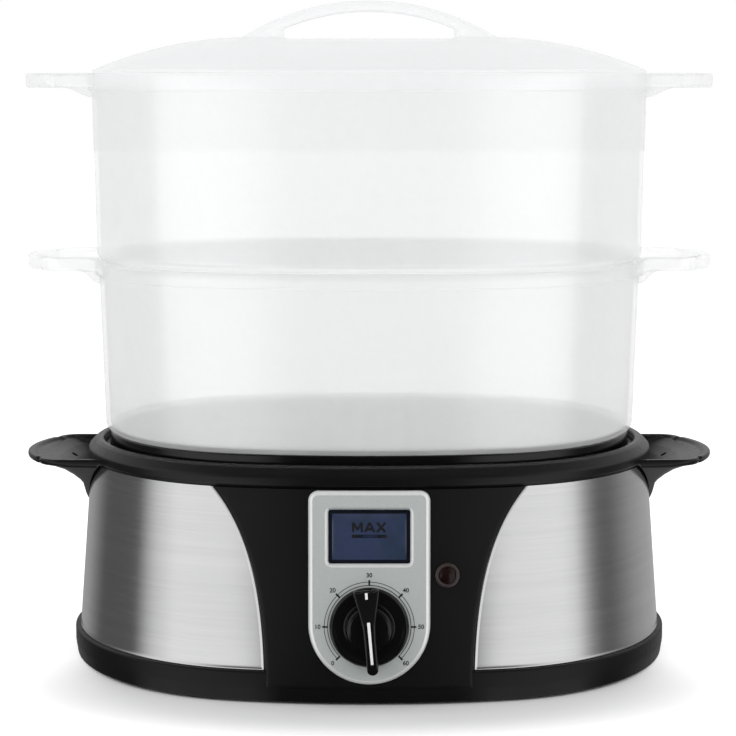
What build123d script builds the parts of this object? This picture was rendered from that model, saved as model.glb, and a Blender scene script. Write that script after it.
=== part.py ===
from build123d import *

import os
from math import atan2, cos, degrees, hypot, radians, sin, sqrt, tan

# Two-tier oval electric food steamer. Millimetres, +Z up, the control panel faces -Y.
# The origin is the middle of the base's oval, on the plane that the feet stand on.

# ---------------------------------------------------------------- driving dimensions
# Plan: every wall is one oval of four tangent arcs, grown or shrunk by its half length.
END_CENTRE = 45.4                 # the end arcs turn about X = +-END_CENTRE
FLAT_CENTRE = 232.0               # the front and rear arcs turn about Y = +-FLAT_CENTRE
CENTRE_SPAN = hypot(END_CENTRE, FLAT_CENTRE)
TANGENT_ANGLE = degrees(atan2(FLAT_CENTRE, END_CENTRE))
FLAT_SWEEP = 180 - 2 * TANGENT_ANGLE
DEPTH_LOSS = END_CENTRE + FLAT_CENTRE - CENTRE_SPAN      # half length less half depth

# Base: heights from the table, and half lengths
FOOT_HEIGHT = 1.6
COVER_FLOOR = 2.0
COVER_TOP = FOOT_HEIGHT + COVER_FLOOR
RING_TOP = 16.8                   # black skirt below the steel
RING_HALF = 151.6
BODY_TOP = 102.6                  # housing and steel panels end here
BODY_FOOT_HALF = 150.2            # steel's outer face at RING_TOP
BODY_TAPER = 4.5                  # degrees that the body leans in
STEEL = 0.8
HOUSING_WALL = 2.4
PANEL_PROUD_TOP = 1.2             # front and rear panels stand out of the steel
PANEL_PROUD_FOOT = 3.0
PANEL_FOOT = 8.0
PANEL_BACK = 148.6                # half length of the panels' rear face, over the skirt
RIM_TOP = 113.0                   # top of the collar round the tank
COLLAR_HALF = 145.0
COLLAR_BORE = 136.8
TRAY_SEAT = 107.0                 # ledge inside the collar
SEAT_BORE = 129.2
SCREW_RADIUS = 1.9

# Handles of the base
HANDLE_TIP = 176.5
HANDLE_TOP = 104.2
HANDLE_HALF_DEPTH = 41.0
HANDLE_WIDEST = 161.0             # X where the handle starts to round off
HANDLE_LIP = 3.0                  # thickness of the rim round the dish
HANDLE_SKIN = 2.4                 # thickness of the hull under the dish
HANDLE_SHADOW = 0.5               # gap between the handle's keel and the steel
KEEL_BOTTOM = 81.0

# Water tank
TANK_FLOOR = 28.0
TANK_WALL = 2.2
TANK_LOWER_HALF = 108.0
TANK_STEP = 68.0
TANK_UPPER_HALF = 127.2
STEP_RISE = 5.0

# Control panel, by heights above the table
KNOB_HEIGHT = 38.4
WINDOW_HEIGHT = 80.7
LAMP_HEIGHT = 62.0
LAMP_X = 36.9
BEZEL_RADIUS = 29.4
BEZEL_TOP = 102.3
BEZEL_PROUD = 2.2
BEZEL_SUNK = 1.6
BEZEL_BEVEL = 1.4
WINDOW_SIZE = (38.6, 25.4)
WINDOW_LEDGE = 1.4
LAMP_RADIUS = 5.9
LAMP_STEM = 4.4
LAMP_SINK = 0.6

# Timer
KNOB_RADIUS = 18.8
KNOB_SEAT = BEZEL_PROUD + 0.5
POINTER_REST_ANGLE = 5.0          # the pointer rests a little to the right of straight down
SHAFT_RADIUS = 3.0
SHAFT_CLEARANCE = 0.05
TIMER_RADIUS = 19.0
TIMER_FRONT = -6.6                # along the panel's normal
TIMER_BACK = -28.4

# Heater, in the middle of the tank floor
PLATE_RADIUS = 48.0
CUP_RADIUS = 42.0
CUP_BOTTOM = 24.0
ELEMENT_THICKNESS = 8.0
STEAM_RING_RADIUS = 56.0
STEAM_RING_HEIGHT = 44.0

# Drip tray, baskets and lid
TRAY_TOP = 116.8
TRAY_FLOOR = 99.2
SHEET = 2.0                       # wall of the tray
LIFT_GAP = 0.2                    # upright play between stacked pieces
BASKET_WALL = 2.2
PLUG_DEPTH = 3.6
EAR_THICKNESS = 5.0
EAR_HALF_DEPTH = 37.0
EAR_BOW = 17.0                    # how far an ear's outer edge bows out
RIM_OVERHANG = 2.2
LOWER_RIM = 204.0
UPPER_RIM = 297.8
LID_HALF = 139.9
LID_EDGE = UPPER_RIM + LIFT_GAP
LID_WALL = 2.4
CROWN_WALL = 4.0                  # thicker where the pocket and the arch's pegs go in
DOME_TOP = 315.9
DOME_RADIUS = 201.0
CROWN_HALF = 60.0                 # the dome is level inside this half length
POCKET_FLOOR = 314.3
ARCH_HALF = 66.0
ARCH_INNER_HALF = 42.3
ARCH_TOP = 334.3
ARCH_THICKNESS = 4.9
ARCH_WIDTH = 24.0

TAPER = tan(radians(BODY_TAPER))


# ---------------------------------------------------------------- shared geometry
def body_half(height, outward=0.0):
    """Half length of the steel's outer face at a height, moved outward."""
    return BODY_FOOT_HALF - TAPER * (height - RING_TOP) + outward


def panel_half(height):
    """Half length of the front and rear panels' outer face at a height."""
    drop = (BODY_TOP - height) / (BODY_TOP - PANEL_FOOT)
    return body_half(height, PANEL_PROUD_TOP + (PANEL_PROUD_FOOT - PANEL_PROUD_TOP) * drop)


def half_depth(half_length):
    """Half depth of the oval that has this half length."""
    return half_length - DEPTH_LOSS


def front_y(x, half_length):
    """Y of the oval's front arc at this X."""
    radius = half_length - END_CENTRE + CENTRE_SPAN
    return FLAT_CENTRE - sqrt(radius**2 - x**2)


def inside_oval(x, y, half_length):
    """Whether a point of the plan lies inside the oval's end circles and flat arcs."""
    if abs(x) > END_CENTRE:
        return hypot(abs(x) - END_CENTRE, y) < half_length - END_CENTRE
    return abs(y) < -front_y(x, half_length)


def oval(half_length):
    """Draw the plan oval in the open sketch."""
    end_radius = half_length - END_CENTRE
    flat_radius = end_radius + CENTRE_SPAN
    with BuildLine() as edge:
        CenterArc((END_CENTRE, 0), end_radius, -TANGENT_ANGLE, 2 * TANGENT_ANGLE)
        CenterArc((0, -FLAT_CENTRE), flat_radius, TANGENT_ANGLE, FLAT_SWEEP)
        CenterArc((-END_CENTRE, 0), end_radius, 180 - TANGENT_ANGLE, 2 * TANGENT_ANGLE)
        CenterArc((0, FLAT_CENTRE), flat_radius, 180 + TANGENT_ANGLE, FLAT_SWEEP)
    make_face(edge.edges())


# Upright plane through the centres of an end arc and the front arc, where the two meet:
# its X is a radius of both arcs, so one section turns round the whole oval.
SECTION = Plane(
    origin=(END_CENTRE, 0, 0),
    x_dir=(cos(radians(TANGENT_ANGLE)), -sin(radians(TANGENT_ANGLE)), 0),
    z_dir=(-sin(radians(TANGENT_ANGLE)), -cos(radians(TANGENT_ANGLE)), 0),
)
END_AXIS = Axis((END_CENTRE, 0, 0), (0, 0, 1))
FRONT_AXIS = Axis((0, FLAT_CENTRE, 0), (0, 0, 1))


def at(half, height):
    """Point of a section, from its half length and its height."""
    return (half - END_CENTRE, height)


def outline(*points):
    """Draw a closed section from points (half length, height)."""
    with BuildLine() as edge:
        Polyline(*[at(*point) for point in points], close=True)
    make_face(edge.edges())


def soften(section, radius, *points):
    """Round the corners of a section at these points (half length, height)."""
    for point in points:
        fillet(section.vertices().sort_by_distance(at(*point))[0], radius)


def turn_round_oval(section, mode=Mode.ADD):
    """Carry the drawn section round the oval: an end and the front, then their mirrors."""
    face = section.sketch.faces()[0]
    end = revolve(axis=END_AXIS, revolution_arc=2 * TANGENT_ANGLE, mode=mode)
    front = revolve(face, axis=FRONT_AXIS, revolution_arc=-FLAT_SWEEP, mode=mode)
    mirror(end, about=Plane.YZ, mode=mode)
    mirror(front, about=Plane.XZ, mode=mode)


# The control panel's plane touches the front panel. Its Y runs up the panel.
PANEL_LEAN = atan2(panel_half(PANEL_FOOT) - panel_half(BODY_TOP), BODY_TOP - PANEL_FOOT)
PANEL_MIDDLE = 55.0
PANEL = Plane(
    origin=(0, -half_depth(panel_half(PANEL_MIDDLE)), PANEL_MIDDLE),
    x_dir=(1, 0, 0),
    z_dir=(0, -cos(PANEL_LEAN), sin(PANEL_LEAN)),
)


def up_panel(height):
    """Y in the panel's plane of a point at this height above the table."""
    return (height - PANEL_MIDDLE) / cos(PANEL_LEAN)


KNOB_V = up_panel(KNOB_HEIGHT)
WINDOW_V = up_panel(WINDOW_HEIGHT)

# The knob's plane turns with its pointer. Its Y runs from the pointer's tip to its tail.
KNOB = Plane(
    origin=PANEL.from_local_coords((0, KNOB_V, 0)),
    x_dir=PANEL.x_dir * cos(radians(POINTER_REST_ANGLE)) + PANEL.y_dir * sin(radians(POINTER_REST_ANGLE)),
    z_dir=PANEL.z_dir,
)

# The pilot lamp stands square to the curved panel, beside the bezel.
LAMP_FACE = panel_half(LAMP_HEIGHT)
LAMP_TURN = atan2(LAMP_X, FLAT_CENTRE - front_y(LAMP_X, LAMP_FACE))
LAMP = Plane(
    origin=(LAMP_X, front_y(LAMP_X, LAMP_FACE), LAMP_HEIGHT),
    x_dir=(cos(LAMP_TURN), sin(LAMP_TURN), 0),
    z_dir=(
        sin(LAMP_TURN) * cos(PANEL_LEAN),
        -cos(LAMP_TURN) * cos(PANEL_LEAN),
        sin(PANEL_LEAN),
    ),
)


def flared_panel():
    """Draw the front panel's outline, straight below and flaring out under the rim."""
    foot, waist, shoulder, top = (49.4, PANEL_FOOT), (49.4, 50.0), (56.0, 82.0), (74.2, BODY_TOP)
    with BuildLine() as edge:
        Line((0, foot[1]), foot)
        Bezier(foot, waist, shoulder, top)
        Line(top, (0, top[1]))
        mirror(edge.line, about=Plane.YZ)
    make_face(edge.edges())


def bezel_outline(inset=0.0):
    """Draw the control plate's outline: round below about the knob, square above."""
    radius = BEZEL_RADIUS - inset
    top = up_panel(BEZEL_TOP) - inset
    with BuildLine() as edge:
        Polyline((-radius, KNOB_V), (-radius, top), (radius, top), (radius, KNOB_V))
        CenterArc((0, KNOB_V), radius, 180, 180)
    make_face(edge.edges())
    corners = [(-radius, top), (radius, top)]
    for corner in corners:
        fillet(vertices().sort_by_distance(corner)[0], 4.6 - inset)


os.makedirs("parts", exist_ok=True)

# ---------------------------------------------------------------- bottom cover
SCREW_REACH = 94.8                # screws stand this far from the centre of their end arc
SCREW_SPOTS = [
    (sx * (END_CENTRE + SCREW_REACH * cos(radians(32))), sy * SCREW_REACH * sin(radians(32)))
    for sx in (-1, 1) for sy in (-1, 1)
]
FOOT_SPOTS = [(sx * 84, sy * 70) for sx in (-1, 1) for sy in (-1, 1)]
FOOT_RADIUS = 9.0

with BuildPart() as bottom_cover:
    with BuildSketch(SECTION) as skirt:
        outline(
            (135.0, FOOT_HEIGHT), (146.9, FOOT_HEIGHT), (148.5, 2.8), (149.9, 5.8), (RING_HALF - 0.2, 13.0),
            (RING_HALF, 15.6), (RING_HALF - 0.9, RING_TOP), (147.6, RING_TOP), (146.2, COVER_TOP),
            (135.0, COVER_TOP),
        )
    turn_round_oval(skirt)
    with BuildSketch(Plane.XY.offset(FOOT_HEIGHT)):
        oval(136.0)
    extrude(amount=COVER_FLOOR)
    with BuildSketch(Plane.XY.offset(FOOT_HEIGHT)):
        with GridLocations(11, 96, 7, 2):
            Rectangle(4, 26)
        with Locations(*SCREW_SPOTS):
            Circle(SCREW_RADIUS)
    extrude(amount=COVER_FLOOR, mode=Mode.SUBTRACT)
    # the front and rear panels of the housing lap over the skirt
    with BuildSketch(Plane.XZ):
        flared_panel()
    panel_notch = extrude(amount=200, both=True, mode=Mode.PRIVATE)
    with BuildSketch(Plane.XY.offset(PANEL_FOOT)):
        oval(PANEL_BACK)
    within = extrude(amount=20, mode=Mode.PRIVATE)
    add(panel_notch - within, mode=Mode.SUBTRACT)
bottom_cover.part.label = "bottom_cover"
export_step(bottom_cover.part, "parts/bottom_cover.step")

with BuildPart() as feet:
    with Locations(*[(x, y, 0) for x, y in FOOT_SPOTS]):
        Cylinder(FOOT_RADIUS, FOOT_HEIGHT, align=(Align.CENTER, Align.CENTER, Align.MIN))
feet.part.label = "feet"
export_step(feet.part, "parts/feet.step")

SCREW_HEAD = 1.0
SCREW_END = 14.0
with BuildPart() as cover_screws:
    with Locations(*[(x, y, FOOT_HEIGHT - SCREW_HEAD) for x, y in SCREW_SPOTS]):
        Cylinder(3.4, SCREW_HEAD, align=(Align.CENTER, Align.CENTER, Align.MIN))
    with Locations(*[(x, y, FOOT_HEIGHT) for x, y in SCREW_SPOTS]):
        Cylinder(SCREW_RADIUS, SCREW_END - FOOT_HEIGHT, align=(Align.CENTER, Align.CENTER, Align.MIN))
cover_screws.part.label = "cover_screws"
export_step(cover_screws.part, "parts/cover_screws.step")

# ---------------------------------------------------------------- housing and its panels
HOLE_CLEARANCE = 0.3
TIMER_SCREW_RADIUS = 1.5
TIMER_SCREW_HEAD = (2.8, 1.0)     # radius and thickness
TIMER_SCREW_SPOTS = [(-12.0, KNOB_V + 8.0), (12.0, KNOB_V - 8.0)]
GLAND_X, GLAND_HEIGHT = -30.0, 26.0
GLAND_RADIUS = 6.0
GLAND_FLANGE = 9.0
GLAND_SINK = 2.0
GLAND_FACE = half_depth(panel_half(GLAND_HEIGHT)) - GLAND_SINK
GLAND = Plane(origin=(GLAND_X, GLAND_FACE, GLAND_HEIGHT), x_dir=(-1, 0, 0), z_dir=(0, 1, 0))
BOSS_SIZE = (8.0, 8.0, 18.0)

with BuildPart() as front_holes:
    with BuildSketch(PANEL.offset(-BEZEL_SUNK)):
        with Locations((0, WINDOW_V)):
            Rectangle(WINDOW_SIZE[0] - 2 * WINDOW_LEDGE, WINDOW_SIZE[1] - 2 * WINDOW_LEDGE)
        with Locations((0, KNOB_V)):
            Circle(SHAFT_RADIUS + HOLE_CLEARANCE)
        with Locations(*TIMER_SCREW_SPOTS):
            Circle(TIMER_SCREW_RADIUS)
    extrude(amount=-8)
    with BuildSketch(PANEL.offset(-BEZEL_SUNK)):
        with Locations(*TIMER_SCREW_SPOTS):
            Circle(TIMER_SCREW_HEAD[0])
    extrude(amount=-TIMER_SCREW_HEAD[1])
    with BuildSketch(LAMP):
        Circle(LAMP_STEM)
    extrude(amount=8, both=True)

with BuildPart() as housing_shell:
    with BuildSketch(SECTION) as wall:
        outline(
            (146.7, 12.0), (147.3, RING_TOP), (body_half(RING_TOP, -STEEL), RING_TOP),
            (body_half(BODY_TOP, -STEEL), BODY_TOP), (138.0, BODY_TOP), (138.0, BODY_TOP - 2),
            (body_half(BODY_TOP - 5, -STEEL - HOUSING_WALL), BODY_TOP - 5),
            (body_half(19.2, -STEEL - HOUSING_WALL), 19.2), (144.9, 17.2), (144.9, 12.0),
        )
    turn_round_oval(wall)
    # screw bosses, which grow out of the wall's foot
    with Locations(*[(x, y, COVER_TOP) for x, y in SCREW_SPOTS]):
        Box(*BOSS_SIZE, align=(Align.CENTER, Align.CENTER, Align.MIN))
    with BuildSketch(Plane.XY.offset(COVER_TOP)):
        with Locations(*SCREW_SPOTS):
            Circle(SCREW_RADIUS)
    extrude(amount=SCREW_END - COVER_TOP, mode=Mode.SUBTRACT)
    add(front_holes.part, mode=Mode.SUBTRACT)
    with BuildSketch(GLAND):
        Circle(GLAND_RADIUS)
    extrude(amount=-12, mode=Mode.SUBTRACT)
housing_shell.part.label = "housing_shell"
export_step(housing_shell.part, "parts/housing_shell.step")

with BuildPart() as flared_panels:
    with BuildSketch(SECTION) as skin:
        outline(
            (PANEL_BACK, PANEL_FOOT), (panel_half(PANEL_FOOT), PANEL_FOOT), (panel_half(BODY_TOP), BODY_TOP),
            (body_half(BODY_TOP, -STEEL), BODY_TOP), (body_half(RING_TOP, -STEEL), RING_TOP),
            (PANEL_BACK, RING_TOP),
        )
    turn_round_oval(skin)
    with BuildSketch(Plane.XZ):
        flared_panel()
    extrude(amount=200, both=True, mode=Mode.INTERSECT)

with BuildPart() as front_panel:
    add(flared_panels.part)
    split(bisect_by=Plane.XZ, keep=Keep.TOP)
    # pocket that the control plate lies in
    with BuildSketch(PANEL.offset(-BEZEL_SUNK)):
        bezel_outline()
    extrude(amount=10, mode=Mode.SUBTRACT)
    with BuildSketch(LAMP.offset(-LAMP_SINK)):
        Circle(LAMP_RADIUS)
    extrude(amount=5, mode=Mode.SUBTRACT)
    add(front_holes.part, mode=Mode.SUBTRACT)
front_panel.part.label = "front_panel"
export_step(front_panel.part, "parts/front_panel.step")

with BuildPart() as rear_panel:
    add(flared_panels.part)
    split(bisect_by=Plane.XZ, keep=Keep.BOTTOM)
    # cord entry, with a flat seat
    with BuildSketch(GLAND):
        Circle(GLAND_FLANGE)
    extrude(amount=10, mode=Mode.SUBTRACT)
    with BuildSketch(GLAND):
        Circle(GLAND_RADIUS)
    extrude(amount=-12, mode=Mode.SUBTRACT)
rear_panel.part.label = "rear_panel"
export_step(rear_panel.part, "parts/rear_panel.step")

with BuildPart() as steel_band:
    with BuildSketch(SECTION) as sheet:
        outline(
            (body_half(RING_TOP, -STEEL), RING_TOP), (body_half(RING_TOP), RING_TOP),
            (body_half(BODY_TOP), BODY_TOP), (body_half(BODY_TOP, -STEEL), BODY_TOP),
        )
    turn_round_oval(sheet)
    with BuildSketch(Plane.XZ):
        flared_panel()
    extrude(amount=200, both=True, mode=Mode.SUBTRACT)

for side_name, kept_side in (("left", Keep.BOTTOM), ("right", Keep.TOP)):
    with BuildPart() as steel_panel:
        add(steel_band.part)
        split(bisect_by=Plane.YZ, keep=kept_side)
    steel_panel.part.label = f"steel_panel_{side_name}"
    export_step(steel_panel.part, f"parts/steel_panel_{side_name}.step")

# ---------------------------------------------------------------- water tank
def handle_hull(lip, skin):
    """Boat-shaped hull of the right-hand handle, drawn in by a lip and a skin thickness."""
    reach, half = HANDLE_TIP - lip, HANDLE_HALF_DEPTH - lip
    with BuildPart() as hull:
        with BuildSketch(Plane.XY.offset(KEEL_BOTTOM - 1)):
            with BuildLine():
                Polyline((HANDLE_WIDEST - lip, -half), (133, -half), (133, half), (HANDLE_WIDEST - lip, half))
                ThreePointArc((HANDLE_WIDEST - lip, half), (reach, 0), (HANDLE_WIDEST - lip, -half))
            make_face()
            fillet(vertices().group_by(Axis.X)[-1], 11)
        extrude(amount=HANDLE_TOP - KEEL_BOTTOM + 1)
        with BuildSketch(Plane.YZ):      # keel, seen from the end
            with BuildLine():
                Polyline(
                    (-60, HANDLE_TOP + 9), (-60, 101.0 + skin + 9), (-HANDLE_HALF_DEPTH, 101.0 + skin),
                    (0, KEEL_BOTTOM + skin), (HANDLE_HALF_DEPTH, 101.0 + skin), (60, 101.0 + skin + 9),
                    (60, HANDLE_TOP + 9), close=True,
                )
            make_face()
        extrude(amount=200, mode=Mode.INTERSECT)
        with BuildSketch(Plane.XZ):      # underside, seen from the front
            with BuildLine():
                Polyline(
                    (130, HANDLE_TOP + 9), (HANDLE_TIP + 9, HANDLE_TOP + 9), (HANDLE_TIP + 9, 102.2 + skin),
                    (HANDLE_TIP, 101.2 + skin), (HANDLE_WIDEST, 97.8 + skin), (148.0, 89.0 + skin),
                    (148.0 - skin, KEEL_BOTTOM - 1), (130, KEEL_BOTTOM - 1), close=True,
                )
            make_face()
        extrude(amount=HANDLE_HALF_DEPTH + 1, both=True, mode=Mode.INTERSECT)
        with BuildSketch(SECTION) as body:
            outward = HANDLE_SHADOW + skin
            outline(
                (120, KEEL_BOTTOM - 5), (body_half(KEEL_BOTTOM - 5, outward), KEEL_BOTTOM - 5),
                (body_half(BODY_TOP, outward), BODY_TOP), (120, BODY_TOP),
            )
        turn_round_oval(body, mode=Mode.SUBTRACT)
    return hull.part


HEATER_SCREW_SPOTS_RADIUS = 52.0
HEATER_SCREW_RADIUS = 1.5
HEATER_SCREW_TOP = TANK_FLOOR + 1.6
GAUGE_SLOT = (26.0, 16.0)

with BuildPart() as tank:
    with BuildSketch(SECTION) as tub:
        with BuildLine():
            ThreePointArc(at(COLLAR_HALF, 105.2), at(143.9, 109.6), at(140.7, 112.6))
            Polyline(
                at(140.7, 112.6), at(139.4, RIM_TOP), at(137.6, RIM_TOP), at(COLLAR_BORE, 112.2),
                at(COLLAR_BORE, TRAY_SEAT), at(SEAT_BORE, TRAY_SEAT),
                at(TANK_UPPER_HALF - TANK_WALL, TANK_STEP + STEP_RISE + 1),
                at(TANK_LOWER_HALF - TANK_WALL, TANK_STEP + 1),
                at(TANK_LOWER_HALF - TANK_WALL - 1, TANK_FLOOR + TANK_WALL),
                at(TANK_LOWER_HALF - 6, TANK_FLOOR + TANK_WALL), at(TANK_LOWER_HALF - 6, TANK_FLOOR),
                at(TANK_LOWER_HALF - 1, TANK_FLOOR), at(TANK_LOWER_HALF, TANK_STEP - 1),
                at(TANK_UPPER_HALF, TANK_STEP + STEP_RISE - 1), at(SEAT_BORE + TANK_WALL, BODY_TOP),
                at(143.2, BODY_TOP), at(143.2, 104.0), at(COLLAR_HALF, 104.0), at(COLLAR_HALF, 105.2),
            )
        make_face()
        soften(tub, 3.0, (TANK_LOWER_HALF - 1, TANK_FLOOR))
    turn_round_oval(tub)
    with BuildSketch(Plane.XY.offset(TANK_FLOOR)):
        oval(TANK_LOWER_HALF - 5)
        Circle(CUP_RADIUS + 2, mode=Mode.SUBTRACT)
    extrude(amount=TANK_WALL)
    with BuildSketch(Plane.XY.offset(TANK_FLOOR)):
        with PolarLocations(HEATER_SCREW_SPOTS_RADIUS, 3, start_angle=30):
            Circle(HEATER_SCREW_RADIUS)
    extrude(amount=HEATER_SCREW_TOP - TANK_FLOOR, mode=Mode.SUBTRACT)
    # slot that lets the water stand in the gauge chamber
    with BuildSketch(PANEL):
        with Locations((0, WINDOW_V + 1)):
            Rectangle(*GAUGE_SLOT)
    extrude(amount=-40, mode=Mode.SUBTRACT)

# the one moulding in three tiers: the well round the heater, the wide basin and the collar
with BuildPart() as tank_well:
    add(tank.part)
    split(bisect_by=Plane.XY.offset(TANK_STEP - 1), keep=Keep.BOTTOM)
tank_well.part.label = "tank_well"
export_step(tank_well.part, "parts/tank_well.step")

with BuildPart() as water_tank:
    add(tank.part)
    split(bisect_by=Plane.XY.offset(TANK_STEP - 1), keep=Keep.TOP)
    split(bisect_by=Plane.XY.offset(BODY_TOP), keep=Keep.BOTTOM)
water_tank.part.label = "water_tank"
export_step(water_tank.part, "parts/water_tank.step")

with BuildPart() as tank_collar:
    add(tank.part)
    split(bisect_by=Plane.XY.offset(BODY_TOP), keep=Keep.TOP)
tank_collar.part.label = "tank_collar"
export_step(tank_collar.part, "parts/tank_collar.step")

# ---------------------------------------------------------------- handles of the base
with BuildPart() as handle_right:
    add(handle_hull(0, 0))
    add(handle_hull(HANDLE_LIP, HANDLE_SKIN), mode=Mode.SUBTRACT)
    with BuildSketch(Plane.XY.offset(HANDLE_TOP)):
        with Locations((155, -13), (155, 13)):
            Circle(1.6)
    extrude(amount=-20, mode=Mode.SUBTRACT)
    # the collar's foot and lip, which the handle hooks in under
    with BuildSketch(SECTION) as seat:
        outline(
            (120, BODY_TOP), (143.2, BODY_TOP), (143.2, 104.0), (COLLAR_HALF, 104.0), (COLLAR_HALF, 115), (120, 115),
        )
    turn_round_oval(seat, mode=Mode.SUBTRACT)
handle_right.part.label = "handle_right"
export_step(handle_right.part, "parts/handle_right.step")

with BuildPart() as handle_left:
    mirror(handle_right.part, about=Plane.YZ)
handle_left.part.label = "handle_left"
export_step(handle_left.part, "parts/handle_left.step")

# ---------------------------------------------------------------- heater
with BuildPart() as heating_plate:
    with BuildSketch(Plane.XZ):
        with BuildLine():
            Polyline(
                (0, CUP_BOTTOM), (CUP_RADIUS, CUP_BOTTOM), (CUP_RADIUS, 31.2), (PLATE_RADIUS, 31.2),
                (PLATE_RADIUS, 32.4), (CUP_RADIUS - 1, 32.4), (CUP_RADIUS - 3, 31.0), (0, 32.0), close=True,
            )
        make_face()
    revolve(axis=Axis.Z)
heating_plate.part.label = "heating_plate"
export_step(heating_plate.part, "parts/heating_plate.step")

with BuildPart() as heater_seal:
    with BuildSketch(Plane.XY.offset(TANK_FLOOR + TANK_WALL)):
        Circle(PLATE_RADIUS - 0.6)
        Circle(CUP_RADIUS + 0.4, mode=Mode.SUBTRACT)
    extrude(amount=31.2 - TANK_FLOOR - TANK_WALL)
heater_seal.part.label = "heater_seal"
export_step(heater_seal.part, "parts/heater_seal.step")

with BuildPart() as heating_element:
    with BuildSketch(Plane.XZ):
        with BuildLine():
            Polyline(
                (0, CUP_BOTTOM), (40, CUP_BOTTOM), (40, CUP_BOTTOM - 3), (36, CUP_BOTTOM - ELEMENT_THICKNESS),
                (28, CUP_BOTTOM - ELEMENT_THICKNESS), (24, CUP_BOTTOM - 4), (0, CUP_BOTTOM - 4), close=True,
            )
        make_face()
    revolve(axis=Axis.Z)
    with BuildSketch(Plane.XZ.offset(-30)):
        with Locations((-8, CUP_BOTTOM - 5), (8, CUP_BOTTOM - 5)):
            Circle(1.8)
    extrude(amount=-20)
heating_element.part.label = "heating_element"
export_step(heating_element.part, "parts/heating_element.step")

with BuildPart() as heater_clamp:
    with BuildSketch(Plane.XY.offset(TANK_FLOOR - 2.5)):
        Circle(57)
        Circle(CUP_RADIUS + 0.4, mode=Mode.SUBTRACT)
        with PolarLocations(HEATER_SCREW_SPOTS_RADIUS, 3, start_angle=30):
            Circle(HEATER_SCREW_RADIUS, mode=Mode.SUBTRACT)
    extrude(amount=2.5)
heater_clamp.part.label = "heater_clamp"
export_step(heater_clamp.part, "parts/heater_clamp.step")

with BuildPart() as heater_screws:
    with BuildSketch(Plane.XY.offset(TANK_FLOOR - 4.5)):
        with PolarLocations(HEATER_SCREW_SPOTS_RADIUS, 3, start_angle=30):
            Circle(3.0)
    extrude(amount=2.0)
    with BuildSketch(Plane.XY.offset(TANK_FLOOR - 2.5)):
        with PolarLocations(HEATER_SCREW_SPOTS_RADIUS, 3, start_angle=30):
            Circle(HEATER_SCREW_RADIUS)
    extrude(amount=HEATER_SCREW_TOP - TANK_FLOOR + 2.5)
heater_screws.part.label = "heater_screws"
export_step(heater_screws.part, "parts/heater_screws.step")

with BuildPart() as thermostat:
    with BuildSketch(Plane.XY.offset(CUP_BOTTOM - 4)):
        Circle(8)
    extrude(amount=-6)
    with BuildSketch(Plane.XY.offset(CUP_BOTTOM - 10)):
        with Locations((-5, 0), (5, 0)):
            Rectangle(0.8, 6)
    extrude(amount=-6)
thermostat.part.label = "thermostat"
export_step(thermostat.part, "parts/thermostat.step")

with BuildPart() as thermal_fuse:
    with BuildSketch(Plane.YZ.offset(9)):
        with Locations((11, CUP_BOTTOM - 6)):
            Circle(2)
    extrude(amount=9)
thermal_fuse.part.label = "thermal_fuse"
export_step(thermal_fuse.part, "parts/thermal_fuse.step")

with BuildPart() as steam_ring:
    with BuildSketch(Plane.XY.offset(TANK_FLOOR + TANK_WALL + LIFT_GAP)):
        Circle(STEAM_RING_RADIUS)
        Circle(STEAM_RING_RADIUS - SHEET, mode=Mode.SUBTRACT)
    extrude(amount=STEAM_RING_HEIGHT)
    with BuildSketch(Plane.XY.offset(TANK_FLOOR + TANK_WALL + LIFT_GAP + STEAM_RING_HEIGHT - SHEET)):
        Circle(STEAM_RING_RADIUS - 1)
        Circle(STEAM_RING_RADIUS - 12, mode=Mode.SUBTRACT)
    extrude(amount=SHEET)
    # water runs in through notches round the foot
    with BuildSketch(Plane.XZ):
        with Locations((0, TANK_FLOOR + TANK_WALL)):
            SlotOverall(20, 8)
    extrude(amount=70, both=True, mode=Mode.SUBTRACT)
    with BuildSketch(Plane.YZ):
        with Locations((0, TANK_FLOOR + TANK_WALL)):
            SlotOverall(20, 8)
    extrude(amount=70, both=True, mode=Mode.SUBTRACT)
steam_ring.part.label = "steam_ring"
export_step(steam_ring.part, "parts/steam_ring.step")

# ---------------------------------------------------------------- control panel
with BuildPart() as control_bezel:
    with BuildSketch(PANEL.offset(-BEZEL_SUNK)):
        bezel_outline()
    extrude(amount=BEZEL_SUNK + BEZEL_PROUD)
    front_face = control_bezel.faces().sort_by(Axis(PANEL.origin, PANEL.z_dir))[-1]
    chamfer(front_face.edges(), BEZEL_BEVEL)
    with BuildSketch(PANEL.offset(-BEZEL_SUNK)):
        with Locations((0, WINDOW_V)):
            Rectangle(*WINDOW_SIZE)
        with Locations((0, KNOB_V)):
            Circle(SHAFT_RADIUS + HOLE_CLEARANCE)
    extrude(amount=BEZEL_SUNK + BEZEL_PROUD, mode=Mode.SUBTRACT)
control_bezel.part.label = "control_bezel"
export_step(control_bezel.part, "parts/control_bezel.step")

with BuildPart() as level_window:
    with BuildSketch(PANEL.offset(-BEZEL_SUNK)):
        with Locations((0, WINDOW_V)):
            Rectangle(*WINDOW_SIZE)
    extrude(amount=BEZEL_SUNK + BEZEL_PROUD - 1.2)
    chamfer(level_window.faces().sort_by(Axis(PANEL.origin, PANEL.z_dir))[-1].edges(), 0.6)
level_window.part.label = "level_window"
export_step(level_window.part, "parts/level_window.step")

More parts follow.
